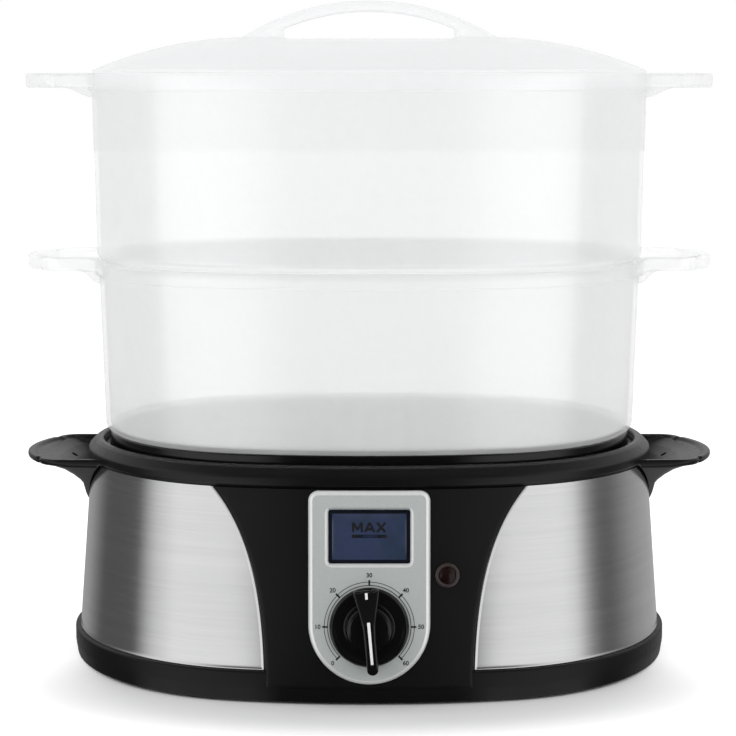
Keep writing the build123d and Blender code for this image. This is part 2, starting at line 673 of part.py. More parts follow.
TUB_FILL = 60.0                   # half length where the block that stands for the tub ends inside
with BuildPart() as gauge_chamber:
    with BuildSketch(PANEL.offset(TIMER_FRONT)):
        with Locations((0, WINDOW_V)):
            Rectangle(WINDOW_SIZE[0], WINDOW_SIZE[1])
    extrude(amount=-24)
    with BuildSketch(PANEL.offset(TIMER_FRONT - TANK_WALL)):
        with Locations((0, WINDOW_V)):
            Rectangle(WINDOW_SIZE[0] - 2 * TANK_WALL, WINDOW_SIZE[1] - 2 * TANK_WALL)
    extrude(amount=-24, mode=Mode.SUBTRACT)
    with BuildSketch(SECTION) as tub_outside:
        outline(
            (TUB_FILL, TANK_STEP - 1), (TANK_LOWER_HALF, TANK_STEP - 1),
            (TANK_UPPER_HALF, TANK_STEP + STEP_RISE - 1), (SEAT_BORE + TANK_WALL, BODY_TOP), (TUB_FILL, BODY_TOP),
        )
    turn_round_oval(tub_outside, mode=Mode.SUBTRACT)
gauge_chamber.part.label = "gauge_chamber"
export_step(gauge_chamber.part, "parts/gauge_chamber.step")

with BuildPart() as pilot_lamp_lens:
    with BuildSketch(LAMP.offset(-LAMP_SINK)):
        Circle(LAMP_RADIUS)
    extrude(amount=1.6)
    chamfer(pilot_lamp_lens.edges().sort_by(Axis(LAMP.origin, LAMP.z_dir))[-1], 0.5)
    with BuildSketch(LAMP.offset(1.0)):
        Circle(3.9)
    extrude(amount=1.3, taper=25)
    with BuildSketch(LAMP.offset(-LAMP_SINK)):
        Circle(LAMP_STEM)
    extrude(amount=-6)
pilot_lamp_lens.part.label = "pilot_lamp_lens"
export_step(pilot_lamp_lens.part, "parts/pilot_lamp_lens.step")

with BuildPart() as neon_lamp:
    with BuildSketch(LAMP.offset(-6.6)):
        Circle(3.0)
    extrude(amount=-12)
neon_lamp.part.label = "neon_lamp"
export_step(neon_lamp.part, "parts/neon_lamp.step")

# ---------------------------------------------------------------- timer
with BuildPart() as timer_body:
    with BuildSketch(PANEL.offset(TIMER_FRONT)):
        with Locations((0, KNOB_V)):
            Circle(TIMER_RADIUS)
    extrude(amount=TIMER_BACK - TIMER_FRONT)
    with BuildSketch(PANEL.offset(TIMER_FRONT)):
        with Locations((0, KNOB_V)):
            Circle(SHAFT_RADIUS + SHAFT_CLEARANCE)
    extrude(amount=-16, mode=Mode.SUBTRACT)
    with BuildSketch(PANEL.offset(TIMER_FRONT)):
        with Locations(*TIMER_SCREW_SPOTS):
            Circle(TIMER_SCREW_RADIUS)
    extrude(amount=-8, mode=Mode.SUBTRACT)
timer_body.part.label = "timer_body"
export_step(timer_body.part, "parts/timer_body.step")

with BuildPart() as timer_bell:
    with BuildSketch(PANEL.offset(TIMER_BACK)):
        with Locations((0, KNOB_V)):
            Circle(15)
    extrude(amount=-6)
    chamfer(timer_bell.edges().sort_by(Axis(PANEL.origin, PANEL.z_dir))[0], 3)
timer_bell.part.label = "timer_bell"
export_step(timer_bell.part, "parts/timer_bell.step")

with BuildPart() as timer_screws:
    with BuildSketch(PANEL.offset(-BEZEL_SUNK)):
        with Locations(*TIMER_SCREW_SPOTS):
            Circle(TIMER_SCREW_HEAD[0])
    extrude(amount=-TIMER_SCREW_HEAD[1])
    with BuildSketch(PANEL.offset(-BEZEL_SUNK)):
        with Locations(*TIMER_SCREW_SPOTS):
            Circle(TIMER_SCREW_RADIUS)
    extrude(amount=-8)
timer_screws.part.label = "timer_screws"
export_step(timer_screws.part, "parts/timer_screws.step")

HUB_RADIUS = 10.4
GRIP_TOP = 16.5
SHAFT_END = 11.0
with BuildPart() as timer_knob:
    with BuildSketch(KNOB.offset(KNOB_SEAT)):
        Circle(KNOB_RADIUS)
    extrude(amount=3.4, taper=12)
    with BuildSketch(KNOB.offset(KNOB_SEAT)):
        Circle(HUB_RADIUS)
    extrude(amount=9.0, taper=4)
    with BuildSketch(KNOB.offset(KNOB_SEAT)):
        with BuildLine():
            Polyline(
                (2.65, -18.6), (2.9, -4), (3.8, 6), (6.3, 18.0),
                (-6.3, 18.0), (-3.8, 6), (-2.9, -4), (-2.65, -18.6),
            )
            CenterArc((0, -18.6), 2.65, 180, 180)
        make_face()
    extrude(amount=GRIP_TOP - KNOB_SEAT)
    grip_edge = timer_knob.faces().sort_by(Axis(KNOB.origin, KNOB.z_dir))[-1].edges()
    chamfer(grip_edge, 0.7)
    with BuildSketch(KNOB.offset(KNOB_SEAT)):
        Circle(SHAFT_RADIUS)
    extrude(amount=SHAFT_END - KNOB_SEAT, mode=Mode.SUBTRACT)
timer_knob.part.label = "timer_knob"
export_step(timer_knob.part, "parts/timer_knob.step")

with BuildPart() as timer_shaft:
    with BuildSketch(KNOB.offset(TIMER_FRONT - 15)):
        Circle(SHAFT_RADIUS)
    extrude(amount=SHAFT_END - TIMER_FRONT + 15)
timer_shaft.part.label = "timer_shaft"
export_step(timer_shaft.part, "parts/timer_shaft.step")

# ---------------------------------------------------------------- mains entry
with BuildPart() as cord_gland:
    with BuildSketch(GLAND):
        Circle(GLAND_FLANGE)
    extrude(amount=GLAND_SINK + 2.0)
    chamfer(cord_gland.edges().sort_by(Axis.Y)[-1], 1.0)
    with BuildSketch(GLAND):
        Circle(GLAND_RADIUS)
    extrude(amount=-9)
    with BuildSketch(GLAND.offset(-9)):
        Circle(3.4)
    extrude(amount=14, mode=Mode.SUBTRACT)
cord_gland.part.label = "cord_gland"
export_step(cord_gland.part, "parts/cord_gland.step")

with BuildPart() as terminal_block:
    with Locations((GLAND_X, 74, COVER_TOP)):
        Box(30, 12, 11, align=(Align.CENTER, Align.CENTER, Align.MIN))
    with BuildSketch(Plane.XY.offset(COVER_TOP + 11)):
        with Locations((GLAND_X, 74)):
            with GridLocations(9, 0, 3, 1):
                Circle(1.8)
    extrude(amount=-5, mode=Mode.SUBTRACT)
terminal_block.part.label = "terminal_block"
export_step(terminal_block.part, "parts/terminal_block.step")

# ---------------------------------------------------------------- drip tray
TRAY_RIM_HALF = 133.4
with BuildPart() as drip_tray:
    with BuildSketch(SECTION) as tray:
        outline(
            (118.0, TRAY_FLOOR), (126.4, TRAY_FLOOR), (128.6, TRAY_SEAT + LIFT_GAP),
            (136.3, TRAY_SEAT + LIFT_GAP), (136.3, TRAY_SEAT + LIFT_GAP + SHEET),
            (TRAY_RIM_HALF, TRAY_SEAT + LIFT_GAP + SHEET), (TRAY_RIM_HALF, TRAY_TOP),
            (TRAY_RIM_HALF - SHEET, TRAY_TOP), (TRAY_RIM_HALF - SHEET, TRAY_SEAT + LIFT_GAP + SHEET),
            (126.8, TRAY_SEAT + LIFT_GAP + SHEET), (124.8, TRAY_FLOOR + SHEET), (118.0, TRAY_FLOOR + SHEET),
        )
    turn_round_oval(tray)
    with BuildSketch(Plane.XY.offset(TRAY_FLOOR)):
        oval(119.0)
    extrude(amount=SHEET)
    # steam rises through three open chimneys, which keep the drips off the heater
    CHIMNEYS = ((0, 64, 36), (-76, 30, 44), (76, 30, 44))
    with BuildSketch(Plane.XY.offset(TRAY_FLOOR)):
        for x, length, depth in CHIMNEYS:
            with Locations((x, 0)):
                RectangleRounded(length, depth, 12)
    extrude(amount=11)
    with BuildSketch(Plane.XY.offset(TRAY_FLOOR)):
        for x, length, depth in CHIMNEYS:
            with Locations((x, 0)):
                RectangleRounded(length - 2 * SHEET, depth - 2 * SHEET, 12 - SHEET)
    extrude(amount=11, mode=Mode.SUBTRACT)
drip_tray.part.label = "drip_tray"
export_step(drip_tray.part, "parts/drip_tray.step")

# ---------------------------------------------------------------- baskets
FLOOR_SHEET = 2.0
HEEL_HEIGHT = 4.0                 # the foot ends level with the floor's upper side
FLOOR_EDGE = 10.0                 # plain border round the slots
SLOT = (31.0, 5.0)
SLOT_PITCH = (38.0, 12.0)


def make_basket(tier, half, draft, bottom, rim, plug_half, ear_tip):
    """Open-bottomed basket in three: wall and rim, foot with its ledge and nesting plug, and two ears."""
    under_rim = rim - EAR_THICKNESS
    top_half = half + draft * (rim - bottom)
    plug_bottom = bottom - PLUG_DEPTH
    with BuildPart() as moulding:
        with BuildSketch(SECTION) as wall:
            outline(
                (half, bottom), (top_half, under_rim), (top_half + RIM_OVERHANG, under_rim + 0.8),
                (top_half + RIM_OVERHANG, rim - 0.8), (top_half + RIM_OVERHANG - 0.8, rim),
                (top_half - BASKET_WALL, rim), (half - BASKET_WALL, bottom + FLOOR_SHEET),
                (plug_half - SHEET, bottom + FLOOR_SHEET), (plug_half - SHEET, plug_bottom),
                (plug_half, plug_bottom), (plug_half, bottom),
            )
            soften(wall, 3.6, (half, bottom))
        turn_round_oval(wall)
    seam = Plane.XY.offset(bottom + HEEL_HEIGHT)
    with BuildPart() as basket:
        add(moulding.part)
        split(bisect_by=seam, keep=Keep.TOP)
    basket.part.label = f"{tier}_basket"
    export_step(basket.part, f"parts/{tier}_basket.step")

    with BuildPart() as foot:
        add(moulding.part)
        split(bisect_by=seam, keep=Keep.BOTTOM)
    foot.part.label = f"{tier}_foot"
    export_step(foot.part, f"parts/{tier}_foot.step")

    shoulder = ear_tip - EAR_BOW
    with BuildPart() as ears:
        with BuildSketch(Plane.XY.offset(under_rim)):
            with BuildLine():
                Polyline((shoulder, -EAR_HALF_DEPTH), (110, -EAR_HALF_DEPTH))
                Line((110, -EAR_HALF_DEPTH), (110, EAR_HALF_DEPTH))
                Line((110, EAR_HALF_DEPTH), (shoulder, EAR_HALF_DEPTH))
                ThreePointArc((shoulder, EAR_HALF_DEPTH), (ear_tip, 0), (shoulder, -EAR_HALF_DEPTH))
            make_face()
            fillet(vertices().group_by(Axis.X)[-1], 11)
        extrude(amount=EAR_THICKNESS)
        chamfer(ears.edges().group_by(Axis.Z)[0].sort_by(Axis.X)[-5:], 1.4)
        # gusset under the ear
        with BuildSketch(Plane.XZ):
            with BuildLine():
                Polyline((120, under_rim), (149, under_rim), (120, under_rim - 10), close=True)
            make_face()
        extrude(amount=20, both=True)
        mirror(ears.part, about=Plane.YZ)
        with BuildSketch(Plane.XY.offset(under_rim - 20)):
            oval(top_half - BASKET_WALL / 2)
        extrude(amount=40, mode=Mode.SUBTRACT)
        add(moulding.part, mode=Mode.SUBTRACT)
    ears.part.label = f"{tier}_ears"
    export_step(ears.part, f"parts/{tier}_ears.step")


def make_basket_floor(name, half, bottom):
    """Slotted floor that snaps in on the basket's ledge."""
    with BuildPart() as floor:
        with BuildSketch(Plane.XY.offset(bottom + FLOOR_SHEET)):
            oval(half)
            spots = [
                (col * SLOT_PITCH[0] + (row % 2) * SLOT_PITCH[0] / 2, row * SLOT_PITCH[1])
                for row in range(-7, 8) for col in range(-4, 5)
            ]
            clear = [spot for spot in spots if inside_oval(abs(spot[0]) + SLOT[0] / 2, spot[1], half - FLOOR_EDGE)]
            with Locations(*clear):
                Rectangle(*SLOT, mode=Mode.SUBTRACT)
        extrude(amount=FLOOR_SHEET)
    floor.part.label = name
    export_step(floor.part, f"parts/{name}.step")


LOWER_BOTTOM = TRAY_TOP + LIFT_GAP
LOWER_HALF = 135.7
LOWER_PLUG = 130.6
UPPER_BOTTOM = LOWER_RIM + LIFT_GAP
UPPER_HALF = 139.0
UPPER_PLUG = 135.0
UPPER_DRAFT = 0.013
make_basket("lower", LOWER_HALF, 0.027, LOWER_BOTTOM, LOWER_RIM, LOWER_PLUG, 174.6)
make_basket_floor("lower_basket_floor", 131.2, LOWER_BOTTOM)
make_basket("upper", UPPER_HALF, UPPER_DRAFT, UPPER_BOTTOM, UPPER_RIM, UPPER_PLUG, 177.0)
make_basket_floor("upper_basket_floor", 134.5, UPPER_BOTTOM)

# ---------------------------------------------------------------- lid
SKIRT_HALF = UPPER_HALF + UPPER_DRAFT * (UPPER_RIM - UPPER_BOTTOM) - BASKET_WALL - 0.5
SKIRT_BOTTOM = 288.0
PEG_X, PEG_RADIUS = 54.0, 3.0
VENT_RADIUS = 1.8


def dome_point(half, depth):
    """Point of the dome's arc at a half length, this far below its surface."""
    run = half - CROWN_HALF
    return at(half, DOME_TOP - DOME_RADIUS + sqrt((DOME_RADIUS - depth) ** 2 - run**2))


with BuildPart() as lid:
    with BuildSketch(SECTION) as dome:
        with BuildLine():
            outer_foot, inner_foot = dome_point(LID_HALF - 1.0, 0), dome_point(SKIRT_HALF - SHEET, LID_WALL)
            TangentArc(at(CROWN_HALF, DOME_TOP), outer_foot, tangent=(1, 0))
            Polyline(
                outer_foot, at(LID_HALF, LID_EDGE + 1.2), at(LID_HALF, LID_EDGE),
                at(SKIRT_HALF - SHEET, LID_EDGE), inner_foot,
            )
            TangentArc(at(CROWN_HALF, DOME_TOP - LID_WALL), inner_foot, tangent=(1, 0))
            Polyline(
                at(CROWN_HALF, DOME_TOP - LID_WALL), at(CROWN_HALF - 6, DOME_TOP - LID_WALL),
                at(CROWN_HALF - 6, DOME_TOP), at(CROWN_HALF, DOME_TOP),
            )
        make_face()
    turn_round_oval(dome)
    with BuildSketch(Plane.XY.offset(DOME_TOP - CROWN_WALL)):
        oval(CROWN_HALF - 4)
    extrude(amount=CROWN_WALL)
    # shallow pocket for the fingers, under the arch
    with BuildSketch(Plane.XY.offset(POCKET_FLOOR)):
        Rectangle(2 * ARCH_INNER_HALF, 90)
    extrude(amount=20, mode=Mode.SUBTRACT)
    with BuildSketch(Plane.XY.offset(280)):
        with Locations((-PEG_X, 0), (PEG_X, 0)):
            Circle(PEG_RADIUS)
        with GridLocations(176, 24, 2, 2):
            Circle(VENT_RADIUS)
    extrude(amount=50, mode=Mode.SUBTRACT)
lid.part.label = "lid"
export_step(lid.part, "parts/lid.step")

# skirt moulded under the lid's edge, which centres it in the upper basket
with BuildPart() as lid_skirt:
    with BuildSketch(SECTION) as band:
        outline(
            (SKIRT_HALF - SHEET, SKIRT_BOTTOM), (SKIRT_HALF - 0.4, SKIRT_BOTTOM), (SKIRT_HALF, SKIRT_BOTTOM + 0.4),
            (SKIRT_HALF, LID_EDGE), (SKIRT_HALF - SHEET, LID_EDGE),
        )
    turn_round_oval(band)
lid_skirt.part.label = "lid_skirt"
export_step(lid_skirt.part, "parts/lid_skirt.step")

ARCH_FOOT = 314.8
ARCH_INNER_TOP = ARCH_TOP - ARCH_THICKNESS
with BuildPart() as lid_handle:
    with BuildSketch(Plane.XZ):
        with BuildLine():
            ThreePointArc((-ARCH_HALF, ARCH_FOOT), (0, ARCH_TOP), (ARCH_HALF, ARCH_FOOT))
            Polyline((ARCH_HALF, ARCH_FOOT), (ARCH_INNER_HALF, ARCH_FOOT), (ARCH_INNER_HALF, 320.5))
            ThreePointArc((ARCH_INNER_HALF, 320.5), (0, ARCH_INNER_TOP), (-ARCH_INNER_HALF, 320.5))
            Polyline((-ARCH_INNER_HALF, 320.5), (-ARCH_INNER_HALF, ARCH_FOOT), (-ARCH_HALF, ARCH_FOOT))
        make_face()
    extrude(amount=ARCH_WIDTH / 2, both=True)
    chamfer(lid_handle.edges().filter_by(GeomType.CIRCLE), 1.6)
    add(lid.part, mode=Mode.SUBTRACT)
    with BuildSketch(Plane.XY.offset(309)):
        with Locations((-PEG_X, 0), (PEG_X, 0)):
            Circle(PEG_RADIUS)
    extrude(amount=10)
lid_handle.part.label = "lid_handle"
export_step(lid_handle.part, "parts/lid_handle.step")
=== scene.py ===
"""Looks of a two-tier oval electric food steamer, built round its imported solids.

Geometry is worked out in millimetres, +Z up, with the control panel facing -Y, and goes into the meshes in metres.
Every wall follows one plan: an oval of four tangent arcs, grown or shrunk by its half length.
"""
import logging
import math
from dataclasses import dataclass
from enum import Enum
from typing import Any, Callable, Optional, Sequence, Union

import bmesh
import bpy
import numpy as np
from mathutils import Matrix, Vector


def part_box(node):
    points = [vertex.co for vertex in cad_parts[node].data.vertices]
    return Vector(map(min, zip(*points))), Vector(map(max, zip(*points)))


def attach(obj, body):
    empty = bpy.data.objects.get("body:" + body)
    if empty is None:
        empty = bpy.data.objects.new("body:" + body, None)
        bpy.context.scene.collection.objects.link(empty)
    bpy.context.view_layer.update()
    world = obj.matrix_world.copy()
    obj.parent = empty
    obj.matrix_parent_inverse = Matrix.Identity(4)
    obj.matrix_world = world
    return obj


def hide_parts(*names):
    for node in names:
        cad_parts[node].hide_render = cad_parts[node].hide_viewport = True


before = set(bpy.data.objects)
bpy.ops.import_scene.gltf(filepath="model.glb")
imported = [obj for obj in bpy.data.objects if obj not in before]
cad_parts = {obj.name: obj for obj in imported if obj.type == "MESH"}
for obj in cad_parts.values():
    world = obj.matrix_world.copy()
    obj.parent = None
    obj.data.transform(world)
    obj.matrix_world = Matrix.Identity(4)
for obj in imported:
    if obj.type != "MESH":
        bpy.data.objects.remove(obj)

log = logging.getLogger("steamer")
MM = 0.001
Array = np.ndarray
Measure = Union[float, Array]
Number = Union[float, "Signal"]
Pair = tuple[float, float]
Triple = tuple[float, float, float]
WHITE = (1.0, 1.0, 1.0, 1.0)
AXIS = 0.01         # radius where a turned section closes
WELD = 2e-6         # metres within which points are merged
SLIVER = 1e-7       # metres below which an edge is dropped
STRAIGHT = math.radians(89)     # half angle past which a corner is left as it is


# ================================================================ plan and profiles
@dataclass(frozen=True)
class OvalPlan:
    """Plan of the walls: end arcs about (+-end_centre, 0), flat arcs about (0, +-flat_centre)."""

    end_centre: float = 45.4
    flat_centre: float = 232.0
    end_steps: int = 56
    flat_steps: int = 24

    @property
    def span(self) -> float:
        """Distance between an end arc's centre and a flat arc's centre."""
        return math.hypot(self.end_centre, self.flat_centre)

    @property
    def tangent(self) -> float:
        """Direction, in radians from the long axis, where an end arc meets a flat arc."""
        return math.atan2(self.flat_centre, self.end_centre)

    def half_depth(self, half: Measure) -> Measure:
        """Half depth of the oval of this half length."""
        return half - self.end_centre - self.flat_centre + self.span

    def stations(self) -> Array:
        """Directions once round the oval, starting at the left end.

        Returns:
            Angles in radians from -pi, evenly spaced within each arc, the closing one left out.
        """
        tangent, half_end = self.tangent, self.end_steps // 2
        stops = [-math.pi, tangent - math.pi, -tangent, tangent, math.pi - tangent, math.pi]
        steps = [half_end, self.flat_steps, self.end_steps, self.flat_steps, half_end]
        return np.concatenate([
            np.linspace(start, end, count, endpoint=False) for start, end, count in zip(stops, stops[1:], steps)
        ])

    def outline(self, half: float) -> Array:
        """Points (n, 2) once round the oval of this half length."""
        return joined(*self.point(self.stations(), half))

    def point(self, direction: Array, half: Measure) -> tuple[Array, Array]:
        """Point of the oval whose outward normal has this direction.

        The arc's centre, plus the arc's radius along the normal. The flat arcs are longer by the span.

        Args:
            direction: angle of the normal, in radians.
            half: half length of the oval.

        Returns:
            X and Y, broadcast over both arguments.
        """
        across, along = np.cos(direction), np.sin(direction)
        radius = half - self.end_centre
        on_end = np.abs(across) >= math.cos(self.tangent) - 1e-9
        x = np.where(on_end, np.sign(across) * self.end_centre, self.span * across) + radius * across
        y = np.where(on_end, 0.0, self.span * along - np.sign(along) * self.flat_centre) + radius * along
        return x, y

    def run(self, direction: Array, half: Measure) -> Array:
        """Length of wall from the right-hand tip to a direction between 0 and 90 degrees.

        Args:
            direction: angle of the wall's normal, in radians.
            half: half length of the oval.

        Returns:
            Length along the wall.
        """
        radius = half - self.end_centre
        past = np.maximum(direction - self.tangent, 0.0)
        return radius * np.minimum(direction, self.tangent) + (radius + self.span) * past

    def direction_at_run(self, length: Array, half: Measure) -> Array:
        """Direction at which the wall has this length from the right-hand tip.

        Args:
            length: length along the wall.
            half: half length of the oval.

        Returns:
            Angle of the normal, in radians.
        """
        radius = half - self.end_centre
        past = length - radius * self.tangent
        return np.where(past <= 0, length / radius, self.tangent + past / (radius + self.span))

    def direction_at_x(self, x: Array, half: Measure) -> Array:
        """Direction between 0 and 90 degrees at which the wall passes this X.

        Args:
            x: place in X, right of the middle.
            half: half length of the oval.

        Returns:
            Angle of the normal, in radians.
        """
        radius = half - self.end_centre
        reach = (radius + self.span) * math.cos(self.tangent)
        flat = np.arccos(np.clip(x / (radius + self.span), -1, 1))
        end = np.arccos(np.clip((x - self.end_centre) / radius, -1, 1))
        return np.where(x <= reach, flat, end)

    def front_y(self, x: Array, half: Measure) -> Array:
        """Y of the front wall at this X."""
        turn = self.direction_at_x(np.abs(x), half)
        return -self.point(turn, half)[1]

    def end_x(self, y: Array, half: Measure) -> Array:
        """X of the right-hand end wall at this Y."""
        return self.end_centre + np.sqrt((half - self.end_centre) ** 2 - y**2)


PLAN = OvalPlan()


class Side(Enum):
    """A side that has a piece of its own: its name, and the sign that mirrors the piece onto it."""

    LEFT = ("left", -1.0)
    RIGHT = ("right", 1.0)
    FRONT = ("front", 1.0)
    REAR = ("rear", -1.0)

    def __init__(self, label: str, sign: float) -> None:
        """Keep the name and the sign."""
        self.label = label
        self.sign = sign


def joined(*axes: Measure) -> Array:
    """Coordinates that broadcast together, joined along a new last axis."""
    return np.stack(np.broadcast_arrays(*axes), axis=-1)


def rounded(corners: Sequence[Triple], steps: int = 5) -> Array:
    """Closed section through corners, each rounded by its own radius.

    A rounded corner becomes the arc that touches both of its sides: its centre lies on the bisector, at the radius
    over the sine of half the corner's angle, and it sweeps between the two touching points.

    Args:
        corners: (across, up, radius) of each corner, in order.
        steps: segments in each arc.

    Returns:
        Points (n, 2) of the section, not repeated at the end.
    """
    here = np.array([corner[:2] for corner in corners], float)
    before, after = np.roll(here, 1, 0) - here, np.roll(here, -1, 0) - here
    before /= np.linalg.norm(before, axis=1)[:, None]
    after /= np.linalg.norm(after, axis=1)[:, None]
    outline = []
    for corner, back, on, (_, _, radius) in zip(here, before, after, corners):
        half_angle = math.acos(float(np.clip(back @ on, -1, 1))) / 2
        if radius <= 0 or half_angle > STRAIGHT:
            outline.append(corner[None])
            continue
        bisector = (back + on) / np.linalg.norm(back + on)
        centre = corner + bisector * radius / math.sin(half_angle)
        start = corner + back * radius / math.tan(half_angle) - centre
        end = corner + on * radius / math.tan(half_angle) - centre
        swept = math.pi - 2 * half_angle
        share = np.linspace(0, 1, steps + 1)[:, None]
        outline.append(centre + (np.sin((1 - share) * swept) * start + np.sin(share * swept) * end) / math.sin(swept))
    return np.concatenate(outline)


def four_spots(x: float, y: float) -> list[Pair]:
    """The same spot in each quarter of the plan."""
    return [(side * x, end * y) for side in (-1, 1) for end in (-1, 1)]


def smooth_step(value: Array) -> Array:
    """Cubic ease from 0 below 0 to 1 above 1."""
    held = np.clip(value, 0, 1)
    return held * held * (3 - 2 * held)


def soft_max(first: Array, second: Array, width: float) -> Array:
    """Larger of two arrays, with the crease between them rounded over a width."""
    gap = first - second
    return (first + second + np.sqrt(gap * gap + width * width)) / 2


def edge_fall(distance: Array, radius: float) -> Array:
    """How far a quarter-round edge falls away at a distance inside the outline."""
    inside = np.clip(radius - distance, 0, radius)
    return radius - np.sqrt(radius * radius - inside * inside)


@dataclass(frozen=True)
class Facing:
    """A flat frame stood in space: across and up lie in its face, out is its normal."""

    origin: Array
    across: Array
    up: Array
    out: Array

    def place(self, points: Array) -> Array:
        """Points (..., 3) of the frame as points of the object."""
        axes = np.stack([self.across, self.up, self.out])
        return self.origin + points @ axes

    def raised(self, height: float) -> "Facing":
        """The same frame moved out along its normal."""
        return Facing(self.origin + self.out * height, self.across, self.up, self.out)

    def turned(self, degrees: float) -> "Facing":
        """The same frame turned about its normal.

        Args:
            degrees: turn, anticlockwise seen from outside.

        Returns:
            The turned frame.
        """
        turn = math.radians(degrees)
        across = self.across * math.cos(turn) + self.up * math.sin(turn)
        return Facing(self.origin, across, np.cross(self.out, across), self.out)


# ================================================================ meshes
class Shape:
    """Points and faces of one piece, gathered grid by grid, in millimetres."""

    def __init__(self) -> None:
        """Start with nothing."""
        self.points: list[Array] = []
        self.faces: list[list[int]] = []
        self.count = 0

    def grid(self, points: Array, rows_close: bool = False, columns_close: bool = False) -> "Shape":
        """Add a grid of quads.

        Args:
            points: (rows, columns, 3) grid of points.
            rows_close: whether the last row joins the first.
            columns_close: whether the last column joins the first.

        Returns:
            The shape itself.
        """
        rows, columns = points.shape[:2]
        index = np.arange(rows * columns).reshape(rows, columns) + self.count
        index = np.concatenate([index, index[:1]]) if rows_close else index
        index = np.concatenate([index, index[:, :1]], axis=1) if columns_close else index
        quads = np.stack([index[:-1, :-1], index[:-1, 1:], index[1:, 1:], index[1:, :-1]], axis=-1)
        self.points.append(points.reshape(-1, 3))
        self.faces += quads.reshape(-1, 4).tolist()
        self.count += rows * columns
        return self

    def slab(self, top: Array, bottom: Array) -> "Shape":
        """Add a closed plate between two grids of the same size, with its four side walls.

        Args:
            top: outer face, (rows, columns, 3).
            bottom: inner face, of the same size.

        Returns:
            The shape itself.
        """
        self.grid(top).grid(bottom[:, ::-1])
        for side in (np.s_[0], np.s_[:, -1]):
            self.grid(np.stack([bottom[side], top[side]]))
        for side in (np.s_[-1], np.s_[:, 0]):
            self.grid(np.stack([top[side], bottom[side]]))
        return self

    def lid_over(self, loop: Array, centre: Array) -> "Shape":
        """Close a loop of points with a fan about a centre.

        Args:
            loop: points (n, 3).
            centre: one point (3,).

        Returns:
            The shape itself.
        """
        size = len(loop)
        self.points.append(np.concatenate([loop, centre[None]]))
        first = self.count
        self.faces += [[first + k, first + (k + 1) % size, first + size] for k in range(size)]
        self.count += size + 1
        return self

    def add_mesh(self, mesh: bpy.types.Mesh, place: Optional[Callable[[Array], Array]] = None) -> "Shape":
        """Add a finished mesh, moved point by point if asked.

        Args:
            mesh: mesh in millimetres, removed afterwards.
            place: maps its points (n, 3) to points of the object.

        Returns:
            The shape itself.
        """
        points = np.empty(len(mesh.vertices) * 3)
        mesh.vertices.foreach_get("co", points)
        points = points.reshape(-1, 3)
        self.points.append(place(points) if place else points)
        self.faces += [[index + self.count for index in face.vertices] for face in mesh.polygons]
        self.count += len(mesh.vertices)
        bpy.data.meshes.remove(mesh)
        return self

    def build(self, name: str, sharp: float = 32.0) -> bpy.types.Object:
        """Weld the grids into one outward-facing mesh object at the origin.

        Args:
            name: the piece's name.
            sharp: edges that bend more than this many degrees stay sharp.

        Returns:
            The new object, linked into the scene.
        """
        mesh = bpy.data.meshes.new(name)
        mesh.from_pydata((np.concatenate(self.points) * MM).tolist(), [], self.faces)
        work = bmesh.new()
        work.from_mesh(mesh)
        bmesh.ops.remove_doubles(work, verts=work.verts, dist=WELD)
        bmesh.ops.dissolve_degenerate(work, edges=work.edges, dist=SLIVER)
        bmesh.ops.recalc_face_normals(work, faces=work.faces)
        work.to_mesh(mesh)
        work.free()
        mesh.shade_smooth()
        mesh.set_sharp_from_angle(angle=math.radians(sharp))
        piece = bpy.data.objects.new(name, mesh)
        bpy.context.scene.collection.objects.link(piece)
        return piece


def round_oval(section: Array) -> Array:
    """Carry a section (half length, height) round the oval, as a grid (stations, n, 3)."""
    return joined(*PLAN.point(PLAN.stations()[:, None], section[:, 0]), section[:, 1])


def turned(section: Array, steps: int) -> Array:
    """Turn a section once round its axis.

    Args:
        section: points (n, 2) of radius and height.
        steps: stations round the axis.

    Returns:
        Grid (steps, n, 3).
    """
    angle = np.linspace(0, 2 * math.pi, steps, endpoint=False)[:, None]
    radius, height = section.T
    return joined(radius * np.cos(angle), radius * np.sin(angle), height)


def crown(loop: Array, rings: int, height: Callable[[Array], Measure]) -> Array:
    """Fill a loop of the oval inwards to its middle line, as a height field.

    Each point runs straight to the nearest point of the middle line, the loop's X held within end_centre and Y 0.

    Args:
        loop: points (n, 3) round the oval.
        rings: steps inwards.
        height: Z from X.

    Returns:
        Grid (n, rings + 1, 3).
    """
    share = np.linspace(0, 1, rings + 1)
    middle = np.clip(loop[:, 0:1], -PLAN.end_centre, PLAN.end_centre)
    x = loop[:, 0:1] * (1 - share) + middle * share
    y = loop[:, 1:2] * (1 - share)
    return joined(x, y, height(x))


def flat_plate(outlines: Sequence[Array], bottom: float, top: float) -> bpy.types.Mesh:
    """Fill plane outlines to a plate. Outlines inside another are holes.

    Args:
        outlines: closed loops (n, 2).
        bottom: height of the plate's underside.
        top: height of its upper side.

    Returns:
        A mesh in the outlines' units.
    """
    curve = bpy.data.curves.new("plate", "CURVE")
    curve.dimensions = "2D"
    curve.fill_mode = "BOTH"
    curve.extrude = (top - bottom) / 2
    for loop in outlines:
        spline = curve.splines.new("POLY")
        spline.points.add(len(loop) - 1)
        spline.points.foreach_set("co", joined(*loop.T, 0.0, 1.0).ravel())
        spline.use_cyclic_u = True
    mesh = mesh_of(curve)
    mesh.transform(Matrix.Translation((0, 0, (top + bottom) / 2)))
    return mesh


